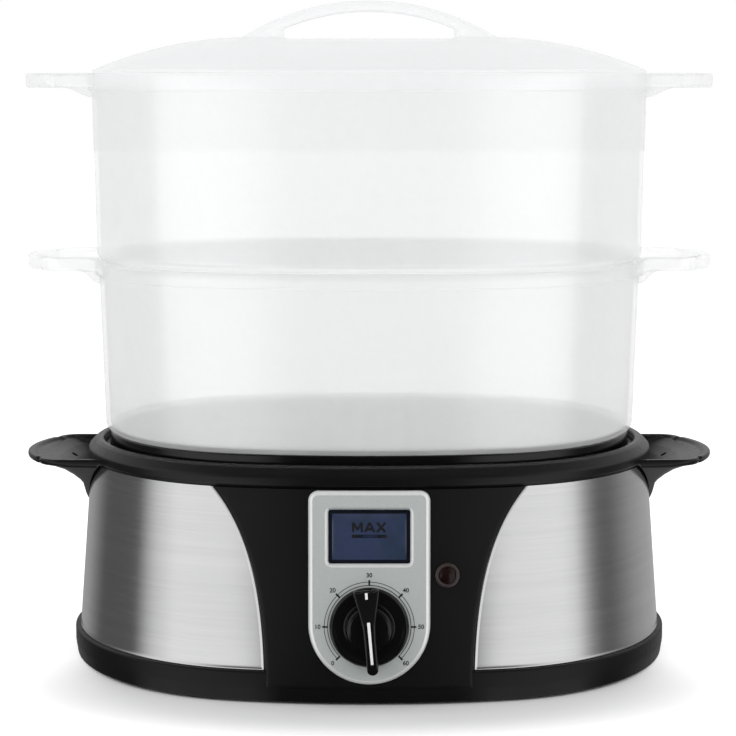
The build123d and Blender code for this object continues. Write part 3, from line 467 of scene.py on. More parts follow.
def mesh_of(curve: bpy.types.Curve) -> bpy.types.Mesh:
    """Turn a curve or text into a mesh.

    Args:
        curve: curve or text, removed afterwards.

    Returns:
        The new mesh.
    """
    holder = bpy.data.objects.new("holder", curve)
    bpy.context.scene.collection.objects.link(holder)
    bpy.context.view_layer.update()
    mesh = bpy.data.meshes.new_from_object(holder.evaluated_get(bpy.context.evaluated_depsgraph_get()))
    bpy.data.objects.remove(holder)
    bpy.data.curves.remove(curve)
    return mesh


def pierced(
    piece: bpy.types.Object, spots: Sequence[Pair], radius: float, low: float, high: float, sharp: float = 36.0
) -> bpy.types.Object:
    """Cut upright round holes through a piece.

    Args:
        piece: closed piece to cut.
        spots: places (x, y) of the holes, in millimetres.
        radius: radius of the holes.
        low: height where the holes start, below the piece's lower face.
        high: height where they end, above its upper face.
        sharp: edges that bend more than this many degrees stay sharp.

    Returns:
        The piece, with its mesh replaced.
    """
    shape = Shape()
    for spot in spots:
        loop = circle(radius, spot)
        ends = lifted([(loop, low), (loop, high)])
        shape.grid(ends, False, True)
        for end in ends:
            shape.lid_over(end, end.mean(0))
    cutter = shape.build("cutter")
    modifier = piece.modifiers.new("holes", "BOOLEAN")
    modifier.solver, modifier.operation, modifier.object = "EXACT", "DIFFERENCE", cutter
    whole = piece.data
    piece.data = bpy.data.meshes.new_from_object(piece.evaluated_get(bpy.context.evaluated_depsgraph_get()))
    piece.modifiers.clear()
    piece.data.set_sharp_from_angle(angle=math.radians(sharp))
    for mesh in (cutter.data, whole):
        bpy.data.meshes.remove(mesh)
    return piece


def lettering(words: str, size: float, thickness: float, bold: float) -> bpy.types.Mesh:
    """Mesh of centred words, in millimetres, lying in its own plane.

    Args:
        words: what to write.
        size: height of the font.
        thickness: how far it stands up.
        bold: outward offset of its outlines.

    Returns:
        The mesh.
    """
    text = bpy.data.curves.new("words", "FONT")
    text.body = words
    text.size = size
    text.align_x, text.align_y = "CENTER", "CENTER"
    text.extrude = thickness / 2
    text.offset = bold
    text.resolution_u = 3
    return mesh_of(text)


def lifted(loops: Sequence[tuple[Array, float]]) -> Array:
    """Stack plane loops at their heights into a grid (loops, n, 3)."""
    return np.stack([joined(*loop.T, height) for loop, height in loops])


def stroke(start: Pair, end: Pair, width: float) -> Array:
    """Bar from one point to another.

    Args:
        start: middle of one end.
        end: middle of the other.
        width: width of the bar.

    Returns:
        Grid (2, 2, 2).
    """
    low, high = np.array(start, float), np.array(end, float)
    along = (high - low) / np.linalg.norm(high - low)
    side = np.array([-along[1], along[0]]) * width / 2
    return np.array([[low - side, low + side], [high - side, high + side]])


def stadium(length: float, width: float, centre: Pair, steps: int = 4) -> Array:
    """Outline of a slot with round ends, lying along X.

    Args:
        length: length over the round ends.
        width: width of the slot.
        centre: its middle.
        steps: segments in each end.

    Returns:
        Points (n, 2).
    """
    radius, straight = width / 2, length / 2 - width / 2
    right = np.linspace(-math.pi / 2, math.pi / 2, steps + 1)
    arc = joined(straight + radius * np.cos(right), radius * np.sin(right))
    return np.concatenate([arc, -arc]) + np.array(centre)


def circle(radius: float, centre: Pair, steps: int = 24) -> Array:
    """Outline of a circle, as points (steps, 2)."""
    angle = np.linspace(0, 2 * math.pi, steps, endpoint=False)
    return joined(np.cos(angle), np.sin(angle)) * radius + np.array(centre)


def rounded_box(width: float, height: float, radius: float, centre: Pair) -> Array:
    """Outline of a rectangle with round corners.

    Args:
        width: size along X.
        height: size along Y.
        radius: radius of the corners.
        centre: its middle.

    Returns:
        Points (n, 2).
    """
    w, h = width / 2, height / 2
    box = rounded([(w, -h, radius), (w, h, radius), (-w, h, radius), (-w, -h, radius)])
    return box + np.array(centre)


# ================================================================ shader graph
class Signal:
    """A shader socket that takes part in Python arithmetic."""

    def __init__(self, graph: "Graph", socket: bpy.types.NodeSocket) -> None:
        """Wrap a socket of a graph."""
        self.graph = graph
        self.socket = socket

    def _math(self, operation: str, first: Number, second: Number) -> "Signal":
        """Add a Math node on two values."""
        return self.graph.node("Math", {"operation": operation}, {0: first, 1: second})

    def __add__(self, other: Number) -> "Signal":
        """Sum."""
        return self._math("ADD", self, other)

    def __sub__(self, other: Number) -> "Signal":
        """Difference."""
        return self._math("SUBTRACT", self, other)

    def __rsub__(self, other: Number) -> "Signal":
        """Difference from a number."""
        return self._math("SUBTRACT", other, self)

    def __mul__(self, other: Number) -> "Signal":
        """Product."""
        return self._math("MULTIPLY", self, other)

    __radd__ = __add__
    __rmul__ = __mul__

    def larger(self, other: Number) -> "Signal":
        """The larger of two values."""
        return self._math("MAXIMUM", self, other)

    def clipped(self, low: float, high: float) -> "Signal":
        """The signal moved from low..high to 0..1 and held there, with a soft foot and head.

        Args:
            low: value that becomes 0.
            high: value that becomes 1.

        Returns:
            The new signal.
        """
        return self.graph.node(
            "MapRange", {"interpolation_type": "SMOOTHSTEP"}, {"Value": self, "From Min": low, "From Max": high}
        )


class Graph:
    """Node tree of a material or of the world."""

    def __init__(self, owner: Union[bpy.types.Material, bpy.types.World]) -> None:
        """Open the owner's node tree.

        Args:
            owner: material or world.
        """
        self.owner = owner
        owner.use_nodes = True
        self.nodes = owner.node_tree.nodes
        self.links = owner.node_tree.links

    @classmethod
    def material(cls, name: str) -> "Graph":
        """Graph of a new material."""
        return cls(bpy.data.materials.new(name))

    @property
    def principled(self) -> bpy.types.Node:
        """The material's Principled shader."""
        return self.nodes["Principled BSDF"]

    @property
    def plain(self) -> Signal:
        """What the Principled shader gives."""
        return Signal(self, self.principled.outputs[0])

    def surface(self, shader: Signal) -> None:
        """Show a shader on the surface."""
        output = self.nodes.get("Material Output") or self.nodes["World Output"]
        self.links.new(shader.socket, output.inputs["Surface"])

    def glow(self, strength: Number) -> Signal:
        """White emission, which shows as full white at a strength of 1."""
        return self.node("Emission", {}, {"Color": WHITE, "Strength": strength})

    def blend(self, factor: Number, first: Signal, second: Signal) -> Signal:
        """Mix of two shaders."""
        return self.node("MixShader", {}, {0: factor, 1: first, 2: second})

    def plain_sight(self) -> Signal:
        """1 for camera, glossy and transmission rays, and 0 for the rays that carry light between surfaces."""
        rays = [self.node("LightPath", {}, {}, f"Is {kind} Ray") for kind in ("Camera", "Glossy", "Transmission")]
        return rays[0].larger(rays[1]).larger(rays[2])

    def node(self, kind: str, settings: dict[str, Any], inputs: dict[Any, Any], output: Any = 0) -> Signal:
        """Add a node.

        Args:
            kind: node type without its ShaderNode prefix.
            settings: properties of the node, set before its sockets.
            inputs: values or signals by socket name or number.
            output: socket of the node to hand back.

        Returns:
            The chosen output.
        """
        made = self.nodes.new("ShaderNode" + kind)
        for key, value in settings.items():
            setattr(made, key, value)
        for key, value in inputs.items():
            self.feed(made.inputs[key], value)
        return Signal(self, made.outputs[output])

    def feed(self, socket: bpy.types.NodeSocket, value: Any) -> None:
        """Link a signal into a socket, or set a constant on it.

        Args:
            socket: socket to feed.
            value: signal or constant.
        """
        if isinstance(value, Signal):
            self.links.new(value.socket, socket)
        else:
            socket.default_value = value

    def place(self) -> Signal:
        """Object coordinates, in metres."""
        return self.node("TexCoord", {}, {}, "Object")

    def noise(self, scale: float, detail: float, vector: Optional[Signal] = None) -> Signal:
        """Noise between 0 and 1 on Object coordinates, or on another vector."""
        return self.node("TexNoise", {}, {"Vector": vector or self.place(), "Scale": scale, "Detail": detail})

    def streaks(self, along: float, across: float, detail: float) -> Signal:
        """Noise drawn out level, by its scales along and across the streaks."""
        vector = self.node("Mapping", {}, {"Vector": self.place(), "Scale": (along, along, across)})
        return self.noise(1.0, detail, vector)

    def mix(self, factor: Number, first: Any, second: Any) -> Signal:
        """Blend two colours."""
        return self.node("Mix", {"data_type": "RGBA"}, {0: factor, 6: _rgba(first), 7: _rgba(second)}, 2)

    def bump(self, height: Signal, depth: float) -> Signal:
        """Bump of a height signal, whose 0 to 1 is depth millimetres."""
        return self.node("Bump", {}, {"Height": height, "Distance": depth * MM, "Strength": 1.0})

    def set(self, **sockets: Any) -> None:
        """Feed the Principled shader's sockets, named with underscores for spaces."""
        for key, value in sockets.items():
            self.feed(self.principled.inputs[key.replace("_", " ")], value)


def _rgba(colour: Any) -> Any:
    """A colour with its alpha, or a signal as it is."""
    return colour if isinstance(colour, Signal) else (*colour[:3], 1.0)


def shade(colour: Sequence[float], factor: float) -> tuple[float, ...]:
    """A colour made darker or lighter by a factor."""
    return tuple(min(1.0, part * factor) for part in colour[:3])


# ================================================================ finishes
@dataclass(frozen=True)
class Moulded:
    """Injection-moulded plastic: fine spark texture, slight flow marks and a scuffed sheen."""

    name: str
    colour: Triple
    roughness: float
    texture: float = 0.012          # depth of the spark texture
    texture_scale: float = 2600.0
    sheen_change: float = 0.08
    reflectance: float = 0.5

    def material(self) -> bpy.types.Material:
        """Build the material.

        Returns:
            The new material.
        """
        graph = Graph.material(self.name)
        flow = graph.noise(22.0, 4.0)
        grain = graph.noise(self.texture_scale, 2.0)
        scuff = graph.noise(340.0, 5.0).clipped(0.52, 0.72)
        sheen = flow * self.sheen_change + scuff * self.sheen_change
        graph.set(
            Base_Color=graph.mix(flow.clipped(0.3, 0.7), shade(self.colour, 0.9), shade(self.colour, 1.1)),
            Roughness=sheen + (self.roughness - self.sheen_change / 2),
            Specular_IOR_Level=self.reflectance,
            Normal=graph.bump(grain, self.texture),
        )
        return graph.owner


@dataclass(frozen=True)
class Brushed:
    """Brushed stainless sheet: fine scratches that run round the body, a cloudy sheen and a few longer marks."""

    name: str
    colour: Triple = (0.70, 0.70, 0.705)
    roughness: float = 0.19
    scratch: float = 0.0018         # depth of the scratches
    across: float = 3000.0          # scratches per metre of height, roughly
    along: float = 30.0

    def material(self) -> bpy.types.Material:
        """Build the material.

        Returns:
            The new material.
        """
        graph = Graph.material(self.name)
        lines = graph.streaks(self.along, self.across, 3.0)
        bands = graph.streaks(5.0, 240.0, 2.0)
        marks = graph.streaks(70.0, 1500.0, 1.0).clipped(0.66, 0.74)
        clouds = graph.noise(26.0, 3.0)
        tone = (lines * 0.5 + bands * 0.5).clipped(0.3, 0.7)
        graph.set(
            Base_Color=graph.mix(tone, shade(self.colour, 0.95), shade(self.colour, 1.04)),
            Metallic=1.0,
            Roughness=clouds * 0.05 + lines * 0.08 + marks * 0.05 + (self.roughness - 0.07),
            Normal=graph.bump(lines, self.scratch),
        )
        return graph.owner


@dataclass(frozen=True)
class Frosted:
    """Frosted translucent plastic: a milky haze with a painted glow, part of it lit from behind, under a thin gloss.
    """

    name: str
    colour: Triple = (0.96, 0.962, 0.966)
    alpha: float = 0.33             # how far each of a wall's two faces hides what is behind
    roughness: float = 0.2
    passing: float = 0.5            # share of the haze that is light from behind
    painted_glow: float = 0.26           # painted glow: white emission that stands in for light the haze passes on from all around
    gloss: float = 0.075            # share of the gloss, face on

    def material(self) -> bpy.types.Material:
        """Build the material: haze with its painted glow and light from behind, mixed, under a gloss that grows
        towards the edges.

        Returns:
            The new material.
        """
        graph = Graph.material(self.name)
        clouds = graph.noise(7.0, 2.0).clipped(0.25, 0.75)
        peel = graph.noise(300.0, 1.0)
        hides = clouds * 0.03 + (self.alpha - 0.015)
        graph.set(
            Base_Color=graph.mix(clouds, shade(self.colour, 0.985), shade(self.colour, 1.015)),
            Alpha=hides,
            Roughness=peel * 0.08 + (self.roughness - 0.04),
            Specular_IOR_Level=0.0,
            # Emission in the haze's colour: a painted glow, as the plastic is no lamp.
            Emission_Color=_rgba(self.colour),
            Emission_Strength=self.painted_glow,
        )
        through = graph.node("BsdfTranslucent", {}, {"Color": _rgba(self.colour)})
        haze = graph.blend(hides, graph.node("BsdfTransparent", {}, {}), through)
        body = graph.blend(self.passing, graph.plain, haze)
        ripple = graph.bump(peel, 0.006)
        gloss = graph.node("BsdfGlossy", {}, {"Roughness": self.roughness, "Normal": ripple})
        share = graph.node("Fresnel", {}, {"IOR": 1.46}) * 0.14 + (peel * 0.03 + (self.gloss - 0.02))
        graph.surface(graph.blend(share, body, gloss))
        return graph.owner


@dataclass(frozen=True)
class Metal:
    """Plain metal part: plated, cast or stamped, with a mottled sheen."""

    name: str
    colour: Triple
    roughness: float
    mottle: float = 300.0
    relief: float = 0.01

    def material(self) -> bpy.types.Material:
        """Build the material.

        Returns:
            The new material.
        """
        graph = Graph.material(self.name)
        mottle = graph.noise(self.mottle, 5.0)
        tarnish = graph.noise(40.0, 3.0).clipped(0.45, 0.75)
        graph.set(
            Base_Color=graph.mix(tarnish, self.colour, shade(self.colour, 0.8)),
            Metallic=1.0,
            Roughness=mottle * 0.16 + (self.roughness - 0.08),
            Normal=graph.bump(mottle, self.relief),
        )
        return graph.owner


@dataclass(frozen=True)
class SilverPaint:
    """Silver-painted plastic: fine metallic flake under a soft coat."""

    name: str
    colour: Triple
    flake: float = 5200.0           # scale of the flake

    def material(self) -> bpy.types.Material:
        """Build the material.

        Returns:
            The new material.
        """
        graph = Graph.material(self.name)
        flakes = graph.noise(self.flake, 1.0).clipped(0.35, 0.68)
        haze = graph.noise(35.0, 2.0)
        graph.set(
            Base_Color=graph.mix(flakes, shade(self.colour, 0.88), shade(self.colour, 1.08)),
            Metallic=0.35,
            Roughness=haze * 0.08 + flakes * 0.05 + 0.3,
            Normal=graph.bump(flakes, 0.004),
            Coat_Weight=0.25,
            Coat_Roughness=0.12,
        )
        return graph.owner


@dataclass(frozen=True)
class Glazing:
    """Tinted window or lens: clear gloss over a dim, uneven tint."""

    name: str
    colour: Triple
    edge: Triple
    # glow: emission of the tint, real for the neon bulb and a painted glow on the level window.
    glow: float = 0.0
    roughness: float = 0.08
    coat: float = 1.0

    def material(self) -> bpy.types.Material:
        """Build the material.

        Returns:
            The new material.
        """
        graph = Graph.material(self.name)
        depth = graph.noise(60.0, 2.0).clipped(0.3, 0.7)
        smear = graph.noise(220.0, 4.0)
        tint = graph.mix(depth, self.edge, self.colour)
        graph.set(
            Base_Color=tint,
            Roughness=smear * 0.08 + self.roughness,
            Specular_IOR_Level=0.5 * self.coat,
            Coat_Weight=self.coat,
            Coat_Roughness=0.03,
            Emission_Color=tint,
            Emission_Strength=self.glow,
            Normal=graph.bump(smear, 0.006),
        )
        return graph.owner


@dataclass(frozen=True)
class Ink:
    """Pad-printed ink: slightly raised and patchy."""

    name: str
    colour: Triple

    def material(self) -> bpy.types.Material:
        """Build the material.

        Returns:
            The new material.
        """
        graph = Graph.material(self.name)
        patch = graph.noise(1800.0, 3.0)
        graph.set(
            Base_Color=graph.mix(patch.clipped(0.3, 0.7), self.colour, shade(self.colour, 0.86)),
            Roughness=patch * 0.2 + 0.4,
            Specular_IOR_Level=0.2,
            Normal=graph.bump(patch, 0.006),
        )
        return graph.owner


class Finish(Enum):
    """Every finish of the steamer."""

    SATIN_BLACK = Moulded("satin_black", (0.0052, 0.0052, 0.0056), 0.4, reflectance=0.2)
    COLLAR_BLACK = Moulded("collar_black", (0.0042, 0.0042, 0.0045), 0.3, texture=0.006, reflectance=0.3)
    GLOSS_BLACK = Moulded("gloss_black", (0.0035, 0.0035, 0.0037), 0.12, 0.002, sheen_change=0.05, reflectance=0.4)
    STEEL = Brushed("brushed_steel")
    # The three frosted finishes glow a little by emission: painted light.
    BASKET = Frosted("frosted_basket", painted_glow=0.285)
    LID = Frosted("frosted_lid", (0.955, 0.96, 0.965), 0.42, 0.26, painted_glow=0.28)
    RIM = Frosted("frosted_ring", (0.96, 0.963, 0.966), 0.42, 0.26, painted_glow=0.42)
    SILVER = SilverPaint("silver_paint", (0.63, 0.665, 0.655))
    # A lighter copy of the same silver paint: a painted highlight on the plate's bevels.
    RIM_SILVER = SilverPaint("highlight_silver_paint", (0.86, 0.87, 0.87))
    # The level window's tint glows at 0.22: a painted glow, as the window is no lamp.
    WINDOW = Glazing("level_window_tint", (0.025, 0.036, 0.075), (0.017, 0.028, 0.048), 0.22)
    WINDOW_EDGE = Glazing("level_window_edge", (0.006, 0.007, 0.014), (0.004, 0.005, 0.01))
    LAMP = Glazing("pilot_lamp_red", (0.011, 0.003, 0.0025), (0.007, 0.0025, 0.0025), roughness=0.25, coat=0.25)
    LAMP_RING = Moulded("lamp_ring", (0.042, 0.031, 0.03), 0.25, texture=0.002, reflectance=0.35)
    NEON = Glazing("neon_bulb", (0.75, 0.4, 0.28), (0.5, 0.25, 0.2), 0.05)
    DARK_INK = Ink("dark_ink", (0.012, 0.012, 0.014))
    WHITE_INK = Ink("white_ink", (0.86, 0.86, 0.85))
    RUBBER = Moulded("foot_rubber", (0.018, 0.018, 0.018), 0.78, texture=0.03, texture_scale=1400.0)
    ZINC = Metal("zinc_plate", (0.66, 0.66, 0.63), 0.34)
    CAST = Metal("cast_aluminium", (0.58, 0.58, 0.57), 0.52, mottle=700.0, relief=0.04)
    HOTPLATE = Metal("satin_hotplate", (0.60, 0.60, 0.59), 0.3, mottle=900.0)
    CASE = Metal("timer_case", (0.52, 0.50, 0.44), 0.42)
    NATURAL = Moulded("natural_plastic", (0.70, 0.69, 0.65), 0.5)

    def dress(self, piece: bpy.types.Object) -> None:
        """Give a piece this finish as its only material.

        Args:
            piece: piece or CAD node.
        """
        made = bpy.data.materials.get(self.value.name) or self.value.material()
        piece.data.materials.clear()
        piece.data.materials.append(made)


@dataclass
class Assembly:
    """A sub-assembly: a CAD body that its pieces ride on, and how they are added."""

    body: str

    def keep(
        self, piece: bpy.types.Object, finish: Finish, slot: str, replaces: Sequence[str] = ()
    ) -> bpy.types.Object:
        """Dress a new piece and hang it on the body.

        Args:
            piece: the new object, at the origin.
            finish: its finish.
            slot: the record's material slot; not used.
            replaces: CAD nodes that it stands for.

        Returns:
            The same piece.
        """
        finish.dress(piece)
        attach(piece, self.body)
        if replaces:
            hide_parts(*replaces)
        log.info("%s: %d faces, %s", piece.name, len(piece.data.polygons), finish.value.name)
        return piece


# ================================================================ base
@dataclass(frozen=True)
class BodyForm:
    """Outer form of the base: half lengths of its walls by height."""

    skirt_top: float = 15.6
    steel_top: float = 102.6
    foot_half: float = 150.4
    taper: float = 4.5
    steel: float = 0.8
    panel_foot: float = 8.0
    panel_proud_top: float = 1.2
    panel_proud_foot: float = 3.0
    panel_middle: float = 55.0
    flare: tuple[Pair, ...] = ((49.4, 8.0), (49.4, 50.0), (56.0, 82.0), (74.2, 102.6))

    def steel_half(self, height: Measure, outward: float = 0.0) -> Measure:
        """Half length of the steel's outer face at a height."""
        return self.foot_half - math.tan(math.radians(self.taper)) * (height - self.skirt_top) + outward

    def panel_half(self, height: Measure) -> Measure:
        """Half length of the front panel's outer face, which stands prouder below than above.

        Args:
            height: height in millimetres.

        Returns:
            Half length.
        """
        drop = (self.steel_top - height) / (self.steel_top - self.panel_foot)
        proud = self.panel_proud_top + (self.panel_proud_foot - self.panel_proud_top) * drop
        return self.steel_half(height) + proud

    def flare_x(self, height: Array) -> Array:
        """X of the front panel's side edge at a height, read off the cubic curve through its four handles.

        Args:
            height: heights in millimetres.

        Returns:
            X of the right-hand edge.
        """
        share = np.linspace(0, 1, 400)
        rest = 1 - share
        weights = joined(rest**3, 3 * share * rest**2, 3 * share**2 * rest, share**3)
        x, level = (weights @ np.array(self.flare)).T
        return np.interp(height, level, x)

    @property
    def lean(self) -> float:
        """Angle, in radians, at which the front panel leans back."""
        rise = self.steel_top - self.panel_foot
        return math.atan2(self.panel_half(self.panel_foot) - self.panel_half(self.steel_top), rise)

    def face(self) -> Facing:
        """The flat that touches the front panel on the middle line.

        Returns:
            The frame, with its origin at panel_middle.
        """
        lean = self.lean
        return Facing(
            np.array([0, -PLAN.half_depth(self.panel_half(self.panel_middle)), self.panel_middle]),
            np.array([1.0, 0, 0]),
            np.array([0, math.sin(lean), math.cos(lean)]),
            np.array([0, -math.cos(lean), math.sin(lean)]),
        )

    def up_face(self, height: float) -> float:
        """Distance up the face from its origin to a height."""
        return (height - self.panel_middle) / math.cos(self.lean)


BODY = BodyForm()


@dataclass
class Base(Assembly):
    """Skirt and floor, steel sheets, front and rear panels, feet and inlet."""

    body: str = "base"
    skirt_half: float = 153.1
    foot_height: float = 1.6
    foot_radius: float = 9.0
    foot_spots: Pair = (84.0, 70.0)
    floor_half: float = 134.5
    floor_sheet: float = 2.0
    slot: Pair = (26.0, 4.0)        # length and width of the cooling slots
    slot_pitch: float = 11.0
    slots_each_side: int = 3
    slot_row: float = 48.0          # the two rows' place in y
    hem: float = 1.5
    hem_rise: float = 0.35
    hem_zone: float = 3.0           # width in which the sheet's stations stand close together
    panel_inner_half: float = 148.8

    def build(self) -> None:
        """Build every piece of the outer base."""
        self.skirt()
        self.cover_floor()
        for side in (Side.LEFT, Side.RIGHT):
            self.steel_sheet(side)
        for side in (Side.FRONT, Side.REAR):
            self.flared_panel(side)
        self.feet()
        self.gland()

    def skirt(self) -> None:
        """Black skirt that the steel stands in: a section with a rolled lip, carried round the oval."""
        half, foot, top = self.skirt_half, self.foot_height, BODY.skirt_top
        section = rounded([
            (134.0, foot, 0), (146.0, foot, 0.4), (149.0, 0.7, 0.6), (152.0, 0.7, 1.6), (half, 8.0, 8.0),
            (half, top, 0.9), (147.6, top, 0.3), (146.2, foot + 2.0, 0), (134.0, foot + 2.0, 0),
        ])
        piece = Shape().grid(round_oval(section), True, True).build("skirt")
        self.keep(piece, Finish.SATIN_BLACK, "black_plastic", ["bottom_cover"])

    def cover_floor(self) -> None:
        """Floor of the base, with two rows of cooling slots that lie along Y."""
        low = self.foot_height
        places = self.slot_pitch * np.arange(-self.slots_each_side, self.slots_each_side + 1)
        slots = [stadium(*self.slot, (y, x))[:, ::-1] for x in places for y in (-self.slot_row, self.slot_row)]
        mesh = flat_plate([PLAN.outline(self.floor_half), *slots], low, low + self.floor_sheet)
        self.keep(Shape().add_mesh(mesh).build("cover_floor"), Finish.SATIN_BLACK, "black_plastic")

    def steel_sheet(self, side: Side) -> None:
        """Wrapped steel sheet of one end, with a rolled hem along its flared edges.

        Each row runs along the wall at one height, between the two points where the front and rear panels' edges
        cross it. Its stations lie evenly by length, and closer together in the hem, where the sheet rises and then
        turns in: outward = rise * sin(pi * d / hem) at a distance d from the edge.

        Args:
            side: the end that the sheet wraps.
        """
        from_edge = np.array([0, 0.12, 0.3, 0.5, 0.75, 1.0, 1.25, 1.5, 2.0])
        near_foot = np.array([0, 0.4, 0.9, 1.5, 2.4]) / 85.8    # shares of the rise
        rise = np.concatenate([near_foot, np.linspace(0.05, 1, 44)])[:, None]
        heights = BODY.skirt_top + (BODY.steel_top - BODY.skirt_top) * rise
        half = BODY.steel_half(heights)
        reach = PLAN.run(PLAN.direction_at_x(BODY.flare_x(heights), half), half)
        middle = (reach - self.hem_zone) * np.linspace(-1, 1, 64)
        length = np.concatenate([from_edge - reach, middle, reach - from_edge[::-1]], 1)
        gap = np.minimum(reach - np.abs(length), heights - BODY.skirt_top + 0.2)
        hem = self.hem_rise * np.sin(np.pi * np.clip(gap / self.hem, 0, 1))
        turn = np.sign(length) * PLAN.direction_at_run(np.abs(length), half)
        flip = np.array([side.sign, 1.0, 1.0])
        faces = [joined(*PLAN.point(turn, half + outward), heights) * flip for outward in (hem, -BODY.steel)]
        piece = Shape().slab(*faces).build(f"steel_{side.label}", 50)
        self.keep(piece, Finish.STEEL, "steel", [f"steel_panel_{side.label}"])

    def flared_panel(self, side: Side) -> None:
        """Front or rear panel, straight below and flaring out under the rim, with rounded side and lower edges.

        A row at each height runs between the two flared edges. It stands at the panel's half length, less a quarter
        round at the edges, so its outline catches a thin line of light.

        Args:
            side: the side that the panel closes.
        """
        share = np.linspace(-1, 1, 81)
        across = np.sign(share) * (1 - (1 - np.abs(share)) ** 1.6)
        rise = np.linspace(0, 1, 61)[:, None] ** 1.25
        heights = BODY.panel_foot + (BODY.steel_top - BODY.panel_foot) * rise
        edge = BODY.flare_x(heights)
        x = across * edge
        gap = np.minimum(edge - np.abs(x), (heights - BODY.panel_foot) * 1.2)
        outer = BODY.panel_half(heights) - edge_fall(gap, 1.6)
        steel_inside = BODY.steel_half(np.maximum(heights, BODY.skirt_top), -BODY.steel)
        inner = np.minimum(self.panel_inner_half, steel_inside) + 0 * x
        faces = [joined(x, side.sign * PLAN.front_y(x, half), heights) for half in (outer, inner)]
        piece = Shape().slab(*faces).build(f"{side.label}_panel_skin", 50)
        self.keep(piece, Finish.SATIN_BLACK, "black_plastic", [f"{side.label}_panel"])

    def feet(self) -> None:
        """Four rubber feet: turned pads with a rounded edge and a shallow ring."""
        radius, top = self.foot_radius, self.foot_height
        section = rounded([
            (AXIS, 0.15, 0), (5.2, 0.15, 0.1), (5.8, 0.0, 0.1), (radius, 0.0, 0.5), (radius, top, 0), (AXIS, top, 0),
        ])
        shape = Shape()
        for spot in four_spots(*self.foot_spots):
            shape.grid(turned(section, 40) + np.array([*spot, 0]), True, True)
        self.keep(shape.build("rubber_feet"), Finish.RUBBER, "rubber", ["feet"])

    def gland(self) -> None:
        """Mains inlet of the rear panel: a round flange with a mouth for the cord."""
        low, high = (np.array(corner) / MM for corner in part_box("cord_gland"))
        (x, _, z), back, front = (low + high) / 2, low[1], high[1]
        section = rounded([
            (3.4, back, 0.3), (6.0, back, 0.6), (6.0, front - 4.0, 0), (9.0, front - 4.0, 0), (9.0, front, 1.0),
            (6.4, front, 0.4), (5.2, front - 0.7, 0.4), (3.4, front - 0.7, 0.6),
        ])
        grid = turned(section, 48)[..., [0, 2, 1]] + np.array([x, 0, z])
        piece = Shape().grid(grid, True, True).build("cord_inlet")
        self.keep(piece, Finish.SATIN_BLACK, "black_plastic", ["cord_gland"])


@dataclass(frozen=True)
class Grip:
    """Plan of a grip or ear: straight sides, an outer edge bowed out to its tip and round corners."""

    tip: float
    half_depth: float
    shoulder: float                 # X where the bow meets the sides, before rounding
    corner: float = 11.0

    @property
    def bow(self) -> float:
        """Radius of the outer edge."""
        rise = self.tip - self.shoulder
        return (self.half_depth**2 + rise**2) / (2 * rise)

    @property
    def corner_y(self) -> float:
        """Y of a round corner's centre."""
        return self.half_depth - self.corner

    @property
    def corner_x(self) -> float:
        """X of a round corner's centre."""
        return self.tip - self.bow + math.sqrt((self.bow - self.corner) ** 2 - self.corner_y**2)

    def reach(self, y: Array) -> Array:
        """X of the outline at this Y: the bow in the middle, the round corner beside it.

        Args:
            y: distance from the middle.

        Returns:
            X of the outline.
        """
        touch = self.corner_y * self.bow / (self.bow - self.corner)
        past = np.clip(np.abs(y) - self.corner_y, 0, self.corner)
        bow = self.tip - self.bow + np.sqrt(self.bow**2 - np.minimum(np.abs(y), touch) ** 2)
        return np.where(np.abs(y) <= touch, bow, self.corner_x + np.sqrt(self.corner**2 - past**2))

    def inside(self, x: Array, y: Array) -> Array:
        """Distance from the outline to a point inside it.

        Args:
            x: place in X.
            y: place in Y.

        Returns:
            The distance, 0 outside.
        """
        bow = self.bow - np.hypot(x - self.tip + self.bow, y)
        flank = self.half_depth - np.abs(y)
        corner = self.corner - np.hypot(x - self.corner_x, np.abs(y) - self.corner_y)
        in_corner = (x > self.corner_x) & (np.abs(y) > self.corner_y)
        return np.maximum(np.where(in_corner, np.minimum(corner, bow), np.minimum(bow, flank)), 0.0)

    def rows(self, count: int) -> Array:
        """Values of Y from side to side, closer together towards the sides."""
        return self.half_depth * np.sin(np.linspace(-math.pi / 2, math.pi / 2, count))


def both_ends(shape: Shape, top: Array, bottom: Array) -> Shape:
    """Add a slab at the right-hand end and its mirror at the left."""
    flip = np.array([-1.0, 1.0, 1.0])
    return shape.slab(top, bottom).slab(top * flip, bottom * flip)


